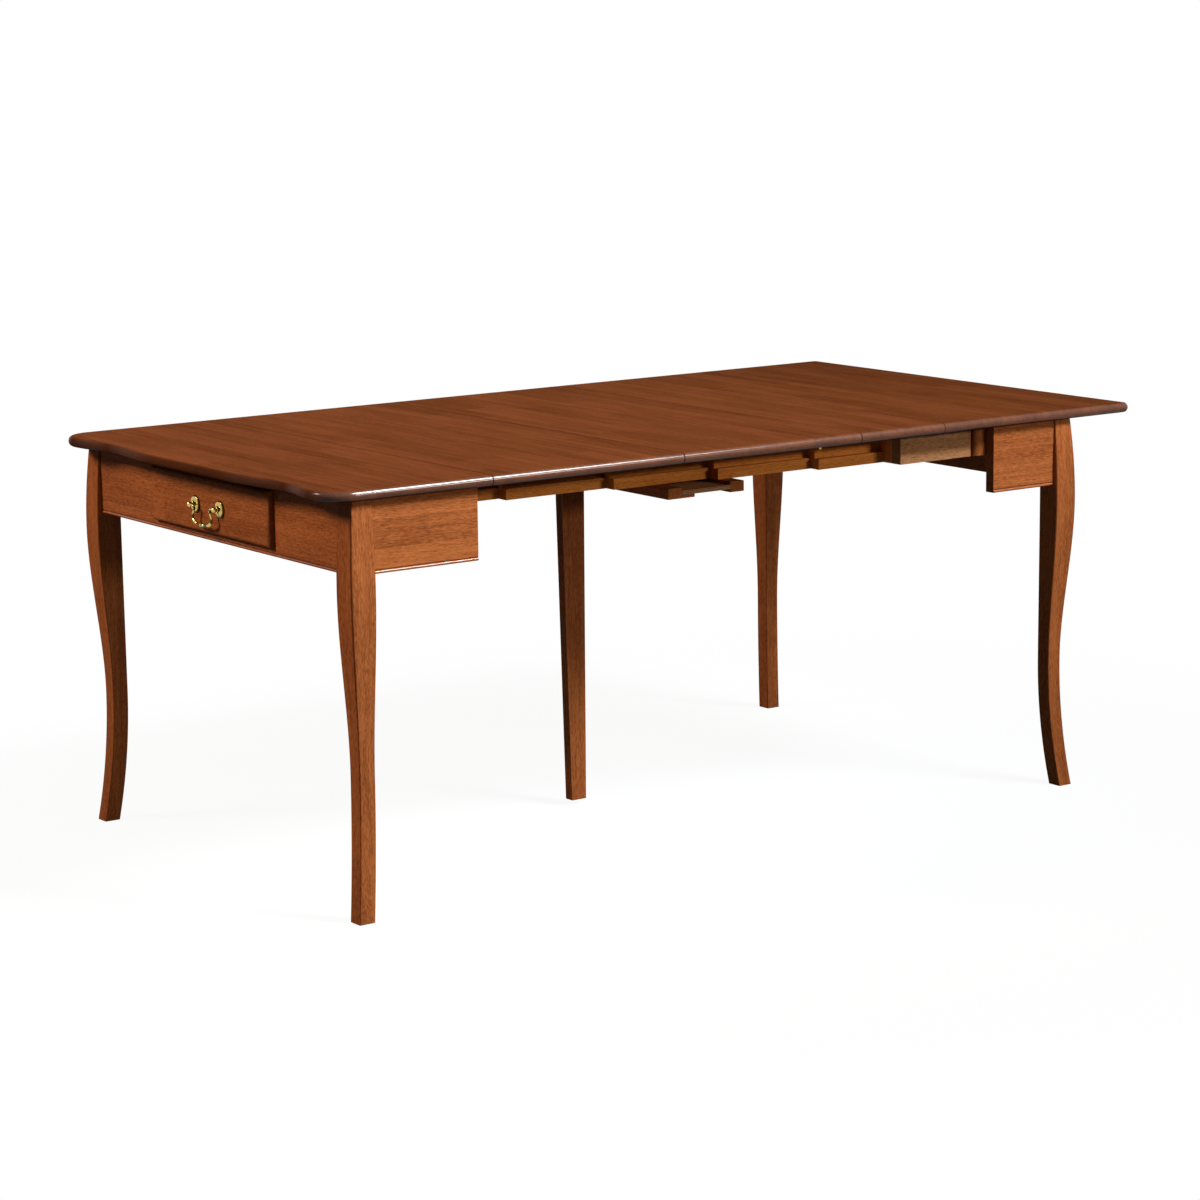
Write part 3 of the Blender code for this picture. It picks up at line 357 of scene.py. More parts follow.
def wood(name, dark, light, roughness, coat, pores):
    """Stained and lacquered hardwood, whose figure follows the piece's grain attribute."""
    material, net, shader = new_material(name)
    grain = attribute(net, "grain", "Vector")
    arris, gloss, rim = (attribute(net, word) for word in ("arris", "gloss", "rim"))
    drift = figure(net, grain, *DRIFT) * DRIFT_WIDTH
    bend = net.node("ShaderNodeCombineXYZ", {}, {"Y": drift, "Z": drift})
    bent = net.node("ShaderNodeVectorMath", {"operation": "ADD"}, {0: grain, 1: bend})
    stave = staves(net, grain, STAVE_WIDTH, STAVE_LENGTH) - 0.5
    cloud = figure(net, grain, *CLOUD)
    streak, fibre, fleck = (figure(net, bent, *layer) for layer in (STREAK, FIBRE, FLECK))
    pore = step(net, figure(net, bent, *PORE), 0.10, 0.18) * pores
    tone = 0.5 + cloud * 0.52 + stave * 0.17 + streak * 0.62 + fibre * 0.80 + fleck * (1.20 * pores)
    body = mix(net, step(net, tone, 0.05, 0.95), solid(dark), solid(light))
    pored = mix(net, pore * 0.50, body, solid(dark, 0.50))
    # rim darkens the seams between boards as dark joints, and paints shade on the top's rounded ends, on the legs'
    # corners and in the quirk over the aprons' bead
    seamed_and_shaded = mix(net, rim * 0.60, pored, solid(dark, 0.60))
    net.feed(shader, {
        # arris paints the sanded edges lighter: partly wear through the colour, partly a painted highlight along
        # them
        "Base Color": mix(net, arris * 0.22, seamed_and_shaded, solid(light, 1.3)),
        "Roughness": roughness + fibre * 0.14 + pore * 0.10,
        "Coat Weight": net.math("MINIMUM", coat + gloss + arris * 0.25, 1.0),
        "Normal": bump(net, fibre * 0.35 + fleck * 0.20 - pore, 0.10, 0.0004),
        "Specular IOR Level": 0.0,
        "Coat Roughness": 0.19,
        "Coat IOR": 1.5,
    })
    return material


def plywood(name, dark, light):
    """Plywood: plies in turn along and across, seen at the edges, under a plain face."""
    material, net, shader = new_material(name)
    grain = attribute(net, "grain", "Vector")
    depth = net.node("ShaderNodeSeparateXYZ", {}, {0: grain}).other("Z")
    wander = noise(net, grain, (25.0, 25.0, 60.0)) * PLY_WANDER
    ply = net.math("SINE", (depth + wander) * (2 * math.pi / PLY_PAIR))
    fibre = noise(net, grain, (14.0, 600.0, 900.0), 3.0, 0.6) - 0.5
    tone = 0.23 + step(net, ply, -0.5, 0.5) * 0.55 + fibre * 0.7
    net.feed(shader, {
        "Base Color": mix(net, step(net, tone, 0.1, 0.9), solid(dark), solid(light)),
        "Roughness": 0.62 + fibre * 0.2,
        "Normal": bump(net, fibre + step(net, ply, -0.4, 0.4) * 0.3, 0.16, 0.0005),
        "Specular IOR Level": 0.15,
    })
    return material


def brass(name, dark, light):
    """Polished, lacquered brass, painted dark in its hollows as patina and painted shade, and in noisy smudges
    that also paint dark reflections.
    """
    material, net, shader = new_material(name)
    point = net.node("ShaderNodeTexCoord", output="Object")
    smear_and_reflection = noise(net, point, (190.0, 190.0, 190.0), 3.0, 0.6)
    speck = noise(net, point, (1400.0, 1400.0, 1400.0))
    hollow = attribute(net, "hollow")
    # Dark brass: patina with painted shade in the hollows, and painted dark reflections in the smudges
    patina_shade_and_reflection = step(net, hollow * 0.60 + smear_and_reflection * 0.55 + speck * 0.10, 0.34, 0.72)
    net.feed(shader, {
        "Base Color": mix(net, patina_shade_and_reflection, solid(light), solid(dark)),
        "Roughness": 0.10 + patina_shade_and_reflection * 0.16,
        "Normal": bump(net, speck, 0.04, 0.0002),
        "Metallic": 1.0,
    })
    return material


# Each finish's colours and maker, and for wood its roughness, its coat and how open its pores are
LOOKS = {
    "top_stain": ("top", wood, 0.42, 0.0, 0.35),
    "frame_stain": ("frame", wood, 0.44, 0.03, 1.0),
    "slide_wood": ("slide", wood, 0.55, 0.01, 1.0),
    "pale_block": ("block", wood, 0.60, 0.0, 1.0),
    "drawer_wood": ("drawer", wood, 0.58, 0.0, 1.0),
    "plywood": ("ply", plywood),
    "polished_brass": ("brass", brass),
}


def finish(slot):
    """The material of one of the record's finishes, made when it is first asked for."""
    name = "finish_" + slot
    made = bpy.data.materials.get(name)
    if made:
        return made
    stem, maker, *lacquer = LOOKS[slot]
    tones = bpy.context.scene.table_finishes
    return maker(name, getattr(tones, stem + "_dark"), getattr(tones, stem + "_light"), *lacquer)


# Pieces

WELD = 0.00002
FINE_WELD = 0.00001
FLAT_WITHIN = math.radians(1.0)
SANDED_OVER = math.radians(50.0)
SANDED_SEGMENTS = 2
BOARD_CREASE = 40.0
TOP_CREASE = 30.0
LEG_CREASE = 60.0
BRASS_CREASE = 50.0


def piece_from(shape, name):
    """An object made from a bmesh, which is freed."""
    mesh = bpy.data.meshes.new(name)
    shape.to_mesh(mesh)
    shape.free()
    piece = bpy.data.objects.new(name, mesh)
    bpy.context.scene.collection.objects.link(piece)
    return piece


def paint(piece, slot):
    """Give a piece one finish, in place of any that it has."""
    piece.data.materials.clear()
    piece.data.materials.append(finish(slot))


def seat(piece, *nodes):
    """Put a piece in its solids' place: their body, the finish of their slot, and the solids hidden."""
    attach(piece, BODY_OF[nodes[0]])
    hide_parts(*nodes)
    paint(piece, SLOT_OF[nodes[0]])


def smooth(piece, crease):
    """Shade a piece smoothly, but not over edges that turn by more than an angle in degrees."""
    piece.data.shade_smooth()
    piece.data.set_sharp_from_angle(angle=math.radians(crease))


def even_shading(piece, crease):
    """Shade a piece smoothly, and keep its flat faces flat beside rounded edges."""
    smooth(piece, crease)
    modifier = piece.modifiers.new("Even shading", "WEIGHTED_NORMAL")
    modifier.mode = "FACE_AREA"
    modifier.keep_sharp = True


def lay_grain(piece, along):
    """Store where each point lay in its plank: along the grain, across it and through it.

    The plank's heart is a chance distance away, drawn from the piece's name.
    """
    mesh = piece.data
    points = np.zeros(len(mesh.vertices) * 3, np.float32)
    mesh.vertices.foreach_get("co", points)
    points = points.reshape(-1, 3)
    sizes = np.ptp(points, axis=0)
    first = "XYZ".index(along)
    across, through = sorted((axis for axis in range(3) if axis != first), key=lambda axis: -sizes[axis])
    draw = random.Random(piece.name)
    middle = points.mean(axis=0)
    grain = np.empty_like(points)
    grain[:, 0] = points[:, first] + draw.uniform(0.0, 40.0)
    grain[:, 1] = points[:, across] - middle[across] + draw.uniform(-0.06, 0.06)
    grain[:, 2] = points[:, through] - middle[through] + draw.uniform(0.05, 0.16)
    mesh.attributes.new("grain", "FLOAT_VECTOR", "POINT").data.foreach_set("vector", grain.ravel())


def soften(shape, width):
    """Round over the outward edges that turn sharply, and mark the new faces as sanded; they are painted lighter,
    for wear and as a painted highlight along the edges.
    """
    sanded_and_highlit = shape.faces.layers.float.new("arris")
    edges = [
        edge for edge in shape.edges
        if len(edge.link_faces) == 2 and edge.is_convex and edge.calc_face_angle() > SANDED_OVER]
    made = bmesh.ops.bevel(
        shape, geom=edges, offset=width, segments=SANDED_SEGMENTS, profile=0.5, affect="EDGES",
        clamp_overlap=True)
    for face in made["faces"]:
        face[sanded_and_highlit] = 1.0


def polish_bead(shape, height, quirk):
    """Mark the bead along an apron's foot as rubbed bright on top, and give the quirk over it painted shade."""
    sanded_and_highlit = shape.faces.layers.float["arris"]
    polish = shape.faces.layers.float.new("gloss")
    seam_and_shade = shape.faces.layers.float.new("rim")
    foot = min(vert.co.z for vert in shape.verts)
    for face in shape.faces:
        rises = [vert.co.z - foot for vert in face.verts]
        faces_up = face.normal.z > 0.05
        in_quirk = min(rises) > height - quirk / 2 and max(rises) < height + quirk
        face[polish] = float(max(rises) < height and faces_up)
        # The quirk's groove gets painted shade
        face[seam_and_shade] = float(in_quirk and not face[sanded_and_highlit])


def dress(node, along, ease=None, bead=None):
    """A finished copy of a solid: its facets joined, its edges sanded, its grain laid."""
    shape = bmesh.new()
    shape.from_mesh(NODES[node].data)
    bmesh.ops.remove_doubles(shape, verts=shape.verts, dist=WELD)
    bmesh.ops.dissolve_limit(shape, angle_limit=FLAT_WITHIN, verts=shape.verts, edges=shape.edges)
    if ease:
        soften(shape, ease)
    if bead:
        polish_bead(shape, *bead)
    piece = piece_from(shape, node + "_finished")
    lay_grain(piece, along)
    even_shading(piece, BOARD_CREASE)
    seat(piece, node)


def dress_pair(stem, *how):
    """Dress the left and the right piece of a pair."""
    for word, _ in SIDES:
        dress("%s_%s" % (stem, word), *how)


def smoothstep(value, low, high):
    """0 under low, 1 over high and an even S between."""
    part = min(max((value - low) / (high - low), 0.0), 1.0)
    return part * part * (3 - 2 * part)


def arc(centre, radius, start, end, steps):
    """Points on an arc, angles in degrees, both ends included."""
    turns = [math.radians(start + (end - start) * index / steps) for index in range(steps + 1)]
    return [(centre[0] + radius * math.cos(turn), centre[1] + radius * math.sin(turn)) for turn in turns]


# The top

NOSE_STEPS = 9
NOSE_MARGIN = 0.004
FRONT_STEPS = 160
CORNER_STEPS = 14


def edge_profile(low, high, radius):
    """Bullnose from the underside to the upper face: inset, height and the way each point faces."""
    points = [(radius + NOSE_MARGIN, low, 0.0, -1.0)]
    for centre, start in ((low + radius, -90), (high - radius, 0)):
        for index in range(NOSE_STEPS + 1):
            turn = math.radians(start + 90 * index / NOSE_STEPS)
            flat = math.cos(turn)
            rise = math.sin(turn)
            points.append((radius * (1 - flat), centre + radius * rise, flat, rise))
    points.append((radius + NOSE_MARGIN, high, 0.0, 1.0))
    return points


def front_run(sizes, seam, nose, half):
    """Outline of the front top, from the seam on the left, round the serpentine, to the right."""
    def setback(offset):
        fall = smoothstep(offset, half - sizes.bulge_from_side, half - sizes.dip_from_side)
        rise = smoothstep(offset, half - sizes.dip_from_side, half - sizes.ear_from_side)
        return sizes.dip_setback * fall - (sizes.dip_setback - sizes.ear_setback) * rise

    radius = sizes.near_corner
    reach = half - radius
    front = []
    for index in range(FRONT_STEPS + 1):
        y = reach * (1 - 2 * index / FRONT_STEPS)
        front.append((nose + setback(abs(y)), y))
    corner_x = front[0][0] + radius
    left = arc((corner_x, reach), radius, 90, 180, CORNER_STEPS)
    right = arc((corner_x, -reach), radius, 180, 270, CORNER_STEPS)
    return [(seam, half)] + left[:-1] + front + right[1:] + [(seam, -half)]


def back_run(sizes, seam, end, half):
    """Outline of the back top, from the seam on the right, round the square end, to the left."""
    radius = sizes.far_corner
    right = arc((end - radius, -half + radius), radius, 270, 360, CORNER_STEPS)
    left = arc((end - radius, half - radius), radius, 0, 90, CORNER_STEPS)
    return [(seam, -half)] + right + left + [(seam, half)]


def outward(run):
    """The way each point of an outline faces, for outlines that go round anticlockwise."""
    ways = []
    for index in range(len(run)):
        before = Vector(run[max(index - 1, 0)])
        after = Vector(run[min(index + 1, len(run) - 1)])
        along = (after - before).normalized()
        ways.append(Vector((along.y, -along.x)))
    return ways


def polish_of(way, flat, rise):
    """How much the lacquer shines at a point of the edge: most on the long sides, above the middle."""
    upper = 0.45 + 0.40 * smoothstep(rise, -0.10, 0.20)
    return upper * smoothstep(flat, 0.30, 0.80) * (0.03 + 0.97 * abs(way.y))


def nose_shade_of(way, flat):
    """How much shade is painted at a point of the edge: on its outward-facing part, most on the short ends."""
    return smoothstep(flat, 0.20, 0.80) * (1.0 - abs(way.y))


def point_layer(shape, name):
    """A number that a bmesh keeps at each point under a name."""
    layers = shape.verts.layers.float
    return layers.get(name) or layers.new(name)


def edge_rows(shape, run, profile, ease):
    """Rows of points across a run of rounded edge, drawn in a little at its two cut ends."""
    rows = []
    last = len(run) - 1
    for index, (spot, way) in enumerate(zip(run, outward(run))):
        spot = Vector(spot)
        if 0 < index < last:
            rows.append((way, 0.0, [spot - way * inset for inset, _, _, _ in profile]))
            continue
        inner = Vector(run[1] if index == 0 else run[-2])
        back = (inner - spot).normalized() * ease
        full = (way, 0.0, [spot + back - way * inset for inset, _, _, _ in profile])
        drawn = (way, ease, [spot - way * (inset + ease * flat) for inset, _, flat, _ in profile])
        rows += [drawn, full] if index == 0 else [full, drawn]
    polish = point_layer(shape, "gloss")
    seam_and_shade = point_layer(shape, "rim")
    made = []
    for way, drop, row in rows:
        line = []
        for spot, (_, height, flat, rise) in zip(row, profile):
            vert = shape.verts.new((spot.x, spot.y, height - drop * rise))
            vert[polish] = polish_of(way, flat, rise)
            # Seam chamfers get the full dark joint; along the nose this paints shade
            vert[seam_and_shade] = 1.0 if drop else nose_shade_of(way, flat)
            line.append(vert)
        made.append(line)
    for first, second in zip(made, made[1:]):
        for low in range(len(profile) - 1):
            shape.faces.new((first[low], second[low], second[low + 1], first[low + 1]))
    return made


def top_board(node, runs, profile, ease):
    """A board of the top: its rounded edges, closed by flat faces and by chamfered seams."""
    shape = bmesh.new()
    strips = [edge_rows(shape, run, profile, ease) for run in runs]
    shape.faces.new([row[-1] for rows in strips for row in rows[1:-1]])
    shape.faces.new([row[0] for rows in strips for row in rows[1:-1]][::-1])
    for rows, following in zip(strips, strips[1:] + strips[:1]):
        shape.faces.new(list(rows[-1]) + list(following[0])[::-1])
        for level in (0, -1):
            shape.faces.new((rows[-2][level], rows[-1][level], following[0][level], following[1][level]))
    bmesh.ops.recalc_face_normals(shape, faces=shape.faces)
    piece = piece_from(shape, node + "_finished")
    lay_grain(piece, "Y")
    smooth(piece, TOP_CREASE)
    seat(piece, node)


class TABLE_OT_top_boards(bpy.types.Operator):
    """Make the front top, the leaves and the back top"""

    bl_idname = "table.top_boards"
    bl_label = "Top Boards"

    def execute(self, context):
        sizes = context.scene.table_top
        for node in ("near_top", "leaf_1", "leaf_2", "leaf_3", "far_top"):
            low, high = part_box(node)
            profile = edge_profile(low.z, high.z, sizes.edge_round)
            half = high.y
            if node == "near_top":
                runs = [front_run(sizes, high.x, low.x, half)]
            elif node == "far_top":
                runs = [back_run(sizes, low.x, high.x, half)]
            else:
                runs = [[(high.x, half), (low.x, half)], [(low.x, -half), (high.x, -half)]]
            top_board(node, runs, profile, sizes.seam_ease)
        return {"FINISHED"}


# Geometry trees

def new_tree(name, inputs):
    """A geometry tree with named inputs: the wire that adds its nodes, and its inputs by name."""
    tree = bpy.data.node_groups.new(name, "GeometryNodeTree")
    tree.interface.new_socket(name="Piece", in_out="OUTPUT", socket_type="NodeSocketGeometry")
    for label, kind in inputs.items():
        tree.interface.new_socket(name=label, in_out="INPUT", socket_type="NodeSocket" + kind)
    net = Wire(tree)
    given = net.node("NodeGroupInput")
    return net, {label: given.other(label) for label in inputs}


def close_tree(net, geometry, material):
    """End a geometry tree: its instances made real, in one material."""
    real = net.node("GeometryNodeRealizeInstances", {}, {"Geometry": geometry})
    done = net.node("GeometryNodeSetMaterial", {}, {"Geometry": real, "Material": material})
    net.node("NodeGroupOutput", {}, {"Piece": done})
    return net.tree


def grown(tree, name, values, source=None):
    """A plain mesh object from a geometry tree, given its inputs by name and, if any, a source."""
    holder = bpy.data.objects.new(name, source or bpy.data.meshes.new(name))
    modifier = holder.modifiers.new("Nodes", "NODES")
    modifier.node_group = tree
    for item in tree.interface.items_tree:
        if item.in_out == "INPUT" and item.name in values:
            modifier[item.identifier] = values[item.name]
    bpy.context.scene.collection.objects.link(holder)
    bpy.context.view_layer.update()
    graph = bpy.context.evaluated_depsgraph_get()
    result = bpy.data.meshes.new_from_object(holder.evaluated_get(graph))
    bpy.data.objects.remove(holder, do_unlink=True)
    shape = bmesh.new()
    shape.from_mesh(result)
    bmesh.ops.remove_doubles(shape, verts=shape.verts, dist=FINE_WELD)
    bmesh.ops.recalc_face_normals(shape, faces=shape.faces)
    bpy.data.meshes.remove(result)
    return piece_from(shape, name)


# The curved legs

LEG_PLACES = ("Foot X", "Foot Y", "Way X", "Way Y", "Height", "Knee Height")
LEG_SIZES = {
    name.replace("_", " ").title(): name
    for name in (
        "foot", "inner_swell", "ankle_height", "ankle_setback", "knee_swell", "top_setback",
        "foot_slope", "top_slope", "corner")}
CORNER_POINTS = 4
CORNER_LEAN = 0.40


def curve_share(net, height, low, high, rise, low_slope, high_slope):
    """What one cubic stretch of a leg's outline adds at a height, given its ends and their slopes."""
    span = high - low
    along = net.node(
        "ShaderNodeMapRange", {"clamp": True},
        {"Value": height, "From Min": low, "From Max": high})
    back = 1 - along
    even = along * along * (3 - along * 2)
    return even * rise + (along * back * back * low_slope - along * along * back * high_slope) * span


def leg_tree(material):
    """Geometry nodes that sweep a rounded square up a leg and bend it to the two outlines."""
    net, put = new_tree("Curved leg", {**dict.fromkeys((*LEG_PLACES, *LEG_SIZES), "Float"), "Rings": "Int"})
    end = net.node("ShaderNodeCombineXYZ", {}, {"Z": put["Height"]})
    line = net.node("GeometryNodeCurvePrimitiveLine", {}, {"End": end})
    spine = net.node("GeometryNodeResampleCurve", {}, {"Curve": line, "Count": put["Rings"]})
    square = net.node("GeometryNodeCurvePrimitiveQuadrilateral", {}, {"Width": 2.0, "Height": 2.0})
    section = net.node(
        "GeometryNodeFilletCurve", {"mode": "POLY"},
        {"Curve": square, "Count": CORNER_POINTS, "Radius": put["Corner"]})
    post = net.node(
        "GeometryNodeCurveToMesh", {}, {"Curve": spine, "Profile Curve": section, "Fill Caps": True})
    parts = net.node("ShaderNodeSeparateXYZ", {}, {0: net.node("GeometryNodeInputPosition")})
    height = parts.other("Z")
    ankle = put["Ankle Height"]
    knee = put["Knee Height"]
    drawn_in = put["Ankle Setback"]
    swell = put["Knee Swell"]
    slope = put["Foot Slope"]
    outer = curve_share(net, height, 0.0, ankle, drawn_in, slope, 0.0)
    outer += curve_share(net, height, ankle, knee, -1 * swell - drawn_in, 0.0, 0.0)
    outer += curve_share(
        net, height, knee, put["Height"], put["Top Setback"] + swell, 0.0, put["Top Slope"])
    inner = put["Foot"] + curve_share(net, height, 0.0, ankle, put["Inner Swell"], slope, 0.0)
    bent = {"Z": height}
    for axis in "XY":
        depth = outer + (inner - outer) * (parts.other(axis) * 0.5 + 0.5)
        bent[axis] = put["Foot " + axis] + put["Way " + axis] * depth
    target = net.node("ShaderNodeCombineXYZ", {}, bent)
    shaped = net.node("GeometryNodeSetPosition", {}, {"Geometry": post, "Position": target})
    return close_tree(net, shaped, material)


def shade_leg_corners(piece):
    """Mark the faces along a leg's rounded corners for painted shade, the dark line where the corner turns away
    from both lit faces.
    """
    seam_and_shade = piece.data.attributes.new("rim", "FLOAT", "FACE")
    for face in piece.data.polygons:
        on_corner = min(abs(face.normal.x), abs(face.normal.y)) > CORNER_LEAN
        seam_and_shade.data[face.index].value = float(on_corner)


class TABLE_OT_legs(bpy.types.Operator):
    """Make the four curved legs"""

    bl_idname = "table.legs"
    bl_label = "Curved Legs"

    def execute(self, context):
        sizes = context.scene.table_leg
        tree = leg_tree(finish("frame_stain"))
        alike = {label: getattr(sizes, name) for label, name in LEG_SIZES.items()}
        alike["Rings"] = sizes.rings
        alike["Height"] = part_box("near_leg_left")[1].z
        alike["Knee Height"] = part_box("near_top")[0].z - sizes.knee_drop
        for end, way_x in (("near", 1.0), ("far", -1.0)):
            for word, side in SIDES:
                node = "%s_leg_%s" % (end, word)
                low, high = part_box(node)
                piece = grown(tree, node + "_finished", {
                    **alike,
                    "Foot X": (low.x if way_x > 0 else high.x) + way_x * sizes.knee_swell,
                    "Foot Y": (high.y if side > 0 else low.y) - side * sizes.knee_swell,
                    "Way X": way_x,
                    "Way Y": -side,
                })
                lay_grain(piece, "Z")
                shade_leg_corners(piece)
                even_shading(piece, LEG_CREASE)
                seat(piece, node)
        return {"FINISHED"}


# Frames, slides, middle support and drawer

class TABLE_OT_frames(bpy.types.Operator):
    """Finish the aprons, the drawer's surround and the blocks inside the frames"""

    bl_idname = "table.frames"
    bl_label = "Aprons and Blocks"

    def execute(self, context):
        sizes = context.scene.table_wood
        bead = (sizes.bead, sizes.quirk)
        dress_pair("near_apron", "X", sizes.ease, bead)
        dress_pair("far_apron", "X", sizes.ease, bead)
        dress("far_end_apron", "Y", sizes.ease, bead)
        dress("drawer_rail_bottom", "Y", sizes.ease, bead)
        dress("drawer_rail_top", "Y", sizes.ease)
        dress_pair("end_panel", "Y", sizes.ease)
        dress_pair("near_corner_block", "Y", sizes.slide_ease)
        dress_pair("far_corner_block", "Y", sizes.slide_ease)
        dress_pair("drawer_runner", "X", sizes.slide_ease)
        dress_pair("apron_spacer", "Z", sizes.slide_ease)
        return {"FINISHED"}


class TABLE_OT_slides(bpy.types.Operator):
    """Finish the interlocking slides and the pale blocks on the last ones"""

    bl_idname = "table.slides"
    bl_label = "Slides"

    def execute(self, context):
        ease = context.scene.table_wood.slide_ease
        for letter in "abcdef":
            dress_pair("slide_" + letter, "X", ease)
        dress_pair("slide_f_block", "X", ease)
        return {"FINISHED"}


class TABLE_OT_middle_support(bpy.types.Operator):
    """Finish the cross rails, the plywood plate and the straight middle leg"""

    bl_idname = "table.middle_support"
    bl_label = "Middle Support"

    def execute(self, context):
        sizes = context.scene.table_wood
        for node in ("centre_rail_near", "centre_rail_far", "plate_cleat"):
            dress(node, "Y", sizes.slide_ease)
        dress("centre_plate", "Y", sizes.slide_ease / 2)
        dress("centre_leg", "Z", sizes.ease)
        return {"FINISHED"}


class TABLE_OT_drawer(bpy.types.Operator):
    """Finish the drawer's front, whose lip is round already, and its sides, back and bottom"""

    bl_idname = "table.drawer"
    bl_label = "Drawer"

    def execute(self, context):
        ease = context.scene.table_wood.slide_ease
        dress("drawer_front", "Y")
        dress_pair("drawer_side", "X", ease)
        dress("drawer_back", "Y", ease)
        dress("drawer_bottom", "Y", ease)
        return {"FINISHED"}


# The pull

TURNED_SEGMENTS = 48
BALL_STEPS = 14
COLLAR_STEPS = 8
DOME_STEPS = 14
ROSETTE_GAP = 0.0004
POINTED = 0.00001
SHOULDER_STEPS = 8
ARM_STEPS = 12
BOTTOM_STEPS = 60
WIRE_SIDES = 20


def turned_post(sizes, standoff):
    """Profile of a post from its ball end to the rosette's rim: radius, stand-off, and how dark the brass is
    painted there as patina and painted shade.
    """
    foot = -math.degrees(math.acos(sizes.neck / sizes.ball))
    ball = arc((0.0, standoff), sizes.ball, 90, foot, BALL_STEPS)
    ball[0] = (0.0, standoff + sizes.ball)
    profile = [(radius, reach, smoothstep(standoff - reach, 0.0, sizes.ball)) for radius, reach in ball]
    for index in range(COLLAR_STEPS + 1):
        turn = math.pi * index / COLLAR_STEPS
        radius = sizes.neck + (sizes.collar - sizes.neck) * math.sin(turn)
        reach = sizes.collar_height + sizes.collar_thick / 2 * math.cos(turn)
        profile.append((radius, reach, 1 - math.sin(turn)))
    for index in range(DOME_STEPS + 1):
        turn = math.pi / 2 * index / DOME_STEPS
        radius = sizes.rosette * math.sin(turn)
        if radius > sizes.neck:
            reach = sizes.rosette_rim + sizes.rosette_rise * math.cos(turn)
            # Dark rings by the neck and at the rim, where the dome meets the post and the drawer: patina and
            # painted shade
            near_neck = 1 - smoothstep(radius, sizes.neck, sizes.rosette * 0.55)
            near_rim = smoothstep(radius, sizes.rosette * 0.80, sizes.rosette)
            profile.append((radius, reach, max(near_neck, near_rim)))
    return profile + [(sizes.rosette, ROSETTE_GAP, 1.0), (sizes.neck, ROSETTE_GAP, 1.0)]


def spun(name, profile, origin):
    """A profile turned about an axis along -X through a point, closed at both ends."""
    shape = bmesh.new()
    hollow = shape.verts.layers.float.new("hollow")
    rings = []
    for radius, reach, depth in profile:
        ring = []
        for index in range(TURNED_SEGMENTS if radius > POINTED else 1):
            turn = 2 * math.pi * index / TURNED_SEGMENTS
            vert = shape.verts.new((
                origin.x - reach, origin.y + radius * math.cos(turn), origin.z + radius * math.sin(turn)))
            vert[hollow] = depth
            ring.append(vert)
        rings.append(ring)
    for first, second in zip(rings, rings[1:]):
        for index in range(TURNED_SEGMENTS):
            following = (index + 1) % TURNED_SEGMENTS
            if len(first) == 1:
                shape.faces.new((first[0], second[index], second[following]))
            else:
                shape.faces.new((first[index], second[index], second[following], first[following]))
    shape.faces.new(rings[-1])
    bmesh.ops.recalc_face_normals(shape, faces=shape.faces)
    piece = piece_from(shape, name)
    smooth(piece, BRASS_CREASE)
    return piece


def bail_points(sizes, spacing):
    """The bail's line from its left pin to the right one, across and down."""
    shoulder = sizes.shoulder_spread / 2
    belly = sizes.belly_spread / 2
    turn = sizes.shoulder_round
    half = [(spacing / 2 - sizes.wire / 2, 0.0)]
    half += arc((shoulder + turn, -turn), turn, 90, 180, SHOULDER_STEPS)
    for index in range(1, ARM_STEPS + 1):
        part = index / ARM_STEPS
        half.append((
            shoulder + (belly - shoulder) * smoothstep(part, 0.0, 1.0),
            -turn - (sizes.belly_drop - turn) * part))
    for index in range(1, BOTTOM_STEPS + 1):
        bend = index / BOTTOM_STEPS * math.pi / 2
        half.append((
            belly * max(math.cos(bend), 0.0) ** sizes.bottom_flatness,
            -sizes.belly_drop - (sizes.bail_drop - sizes.belly_drop) * math.sin(bend)))
    half[-1] = (0.0, -sizes.bail_drop)
    return half + [(-y, z) for y, z in half[-2::-1]]


def bail_knots(sizes, y, z):
    """For each of the bail's swellings, how far off a point lies in half lengths, and its radius."""
    bottom = -sizes.bail_drop
    knots = (
        (sizes.bead_length * 0.27, bottom, sizes.bead_length * 0.28, sizes.bead),
        (sizes.bead_length * 0.76, bottom, sizes.bead_length * 0.14, sizes.ring),
        (sizes.belly_spread * 0.39, bottom * 0.90, sizes.leaf_length / 2, sizes.leaf),
        (sizes.shoulder_spread / 2, bottom * 0.16, sizes.wire, sizes.ring))
    return [(math.hypot(abs(y) - across, z - down) / half, radius) for across, down, half, radius in knots]


def bail_radius(sizes, y, z):
    """Thickness of the bail: plain wire with beads, rings and two leaf-like swellings."""
    radius = sizes.wire
    for off, swell in bail_knots(sizes, y, z):
        if off < 1.0:
            radius = max(radius, sizes.wire + (swell - sizes.wire) * math.sqrt(1 - off * off))
    return radius


def bail_patina_and_shade(sizes, y, z):
    """How dark the brass is painted at a point of the bail, beside its swellings: patina and painted shade in the
    crevices.
    """
    return max(
        smoothstep(off, 0.75, 1.05) * (1 - smoothstep(off, 1.3, 2.0))
        for off, _ in bail_knots(sizes, y, z))


def bail_tree(material):
    """Geometry nodes that sweep a round wire along the bail's line."""
    net, put = new_tree("Bail wire", {"Line": "Geometry", "Sides": "Int"})
    section = net.node("GeometryNodeCurvePrimitiveCircle", {}, {"Resolution": put["Sides"], "Radius": 1.0})
    swept = net.node(
        "GeometryNodeCurveToMesh", {},
        {"Curve": put["Line"], "Profile Curve": section, "Fill Caps": True,
         "Scale": net.node("GeometryNodeInputRadius")})
    return close_tree(net, swept, material)


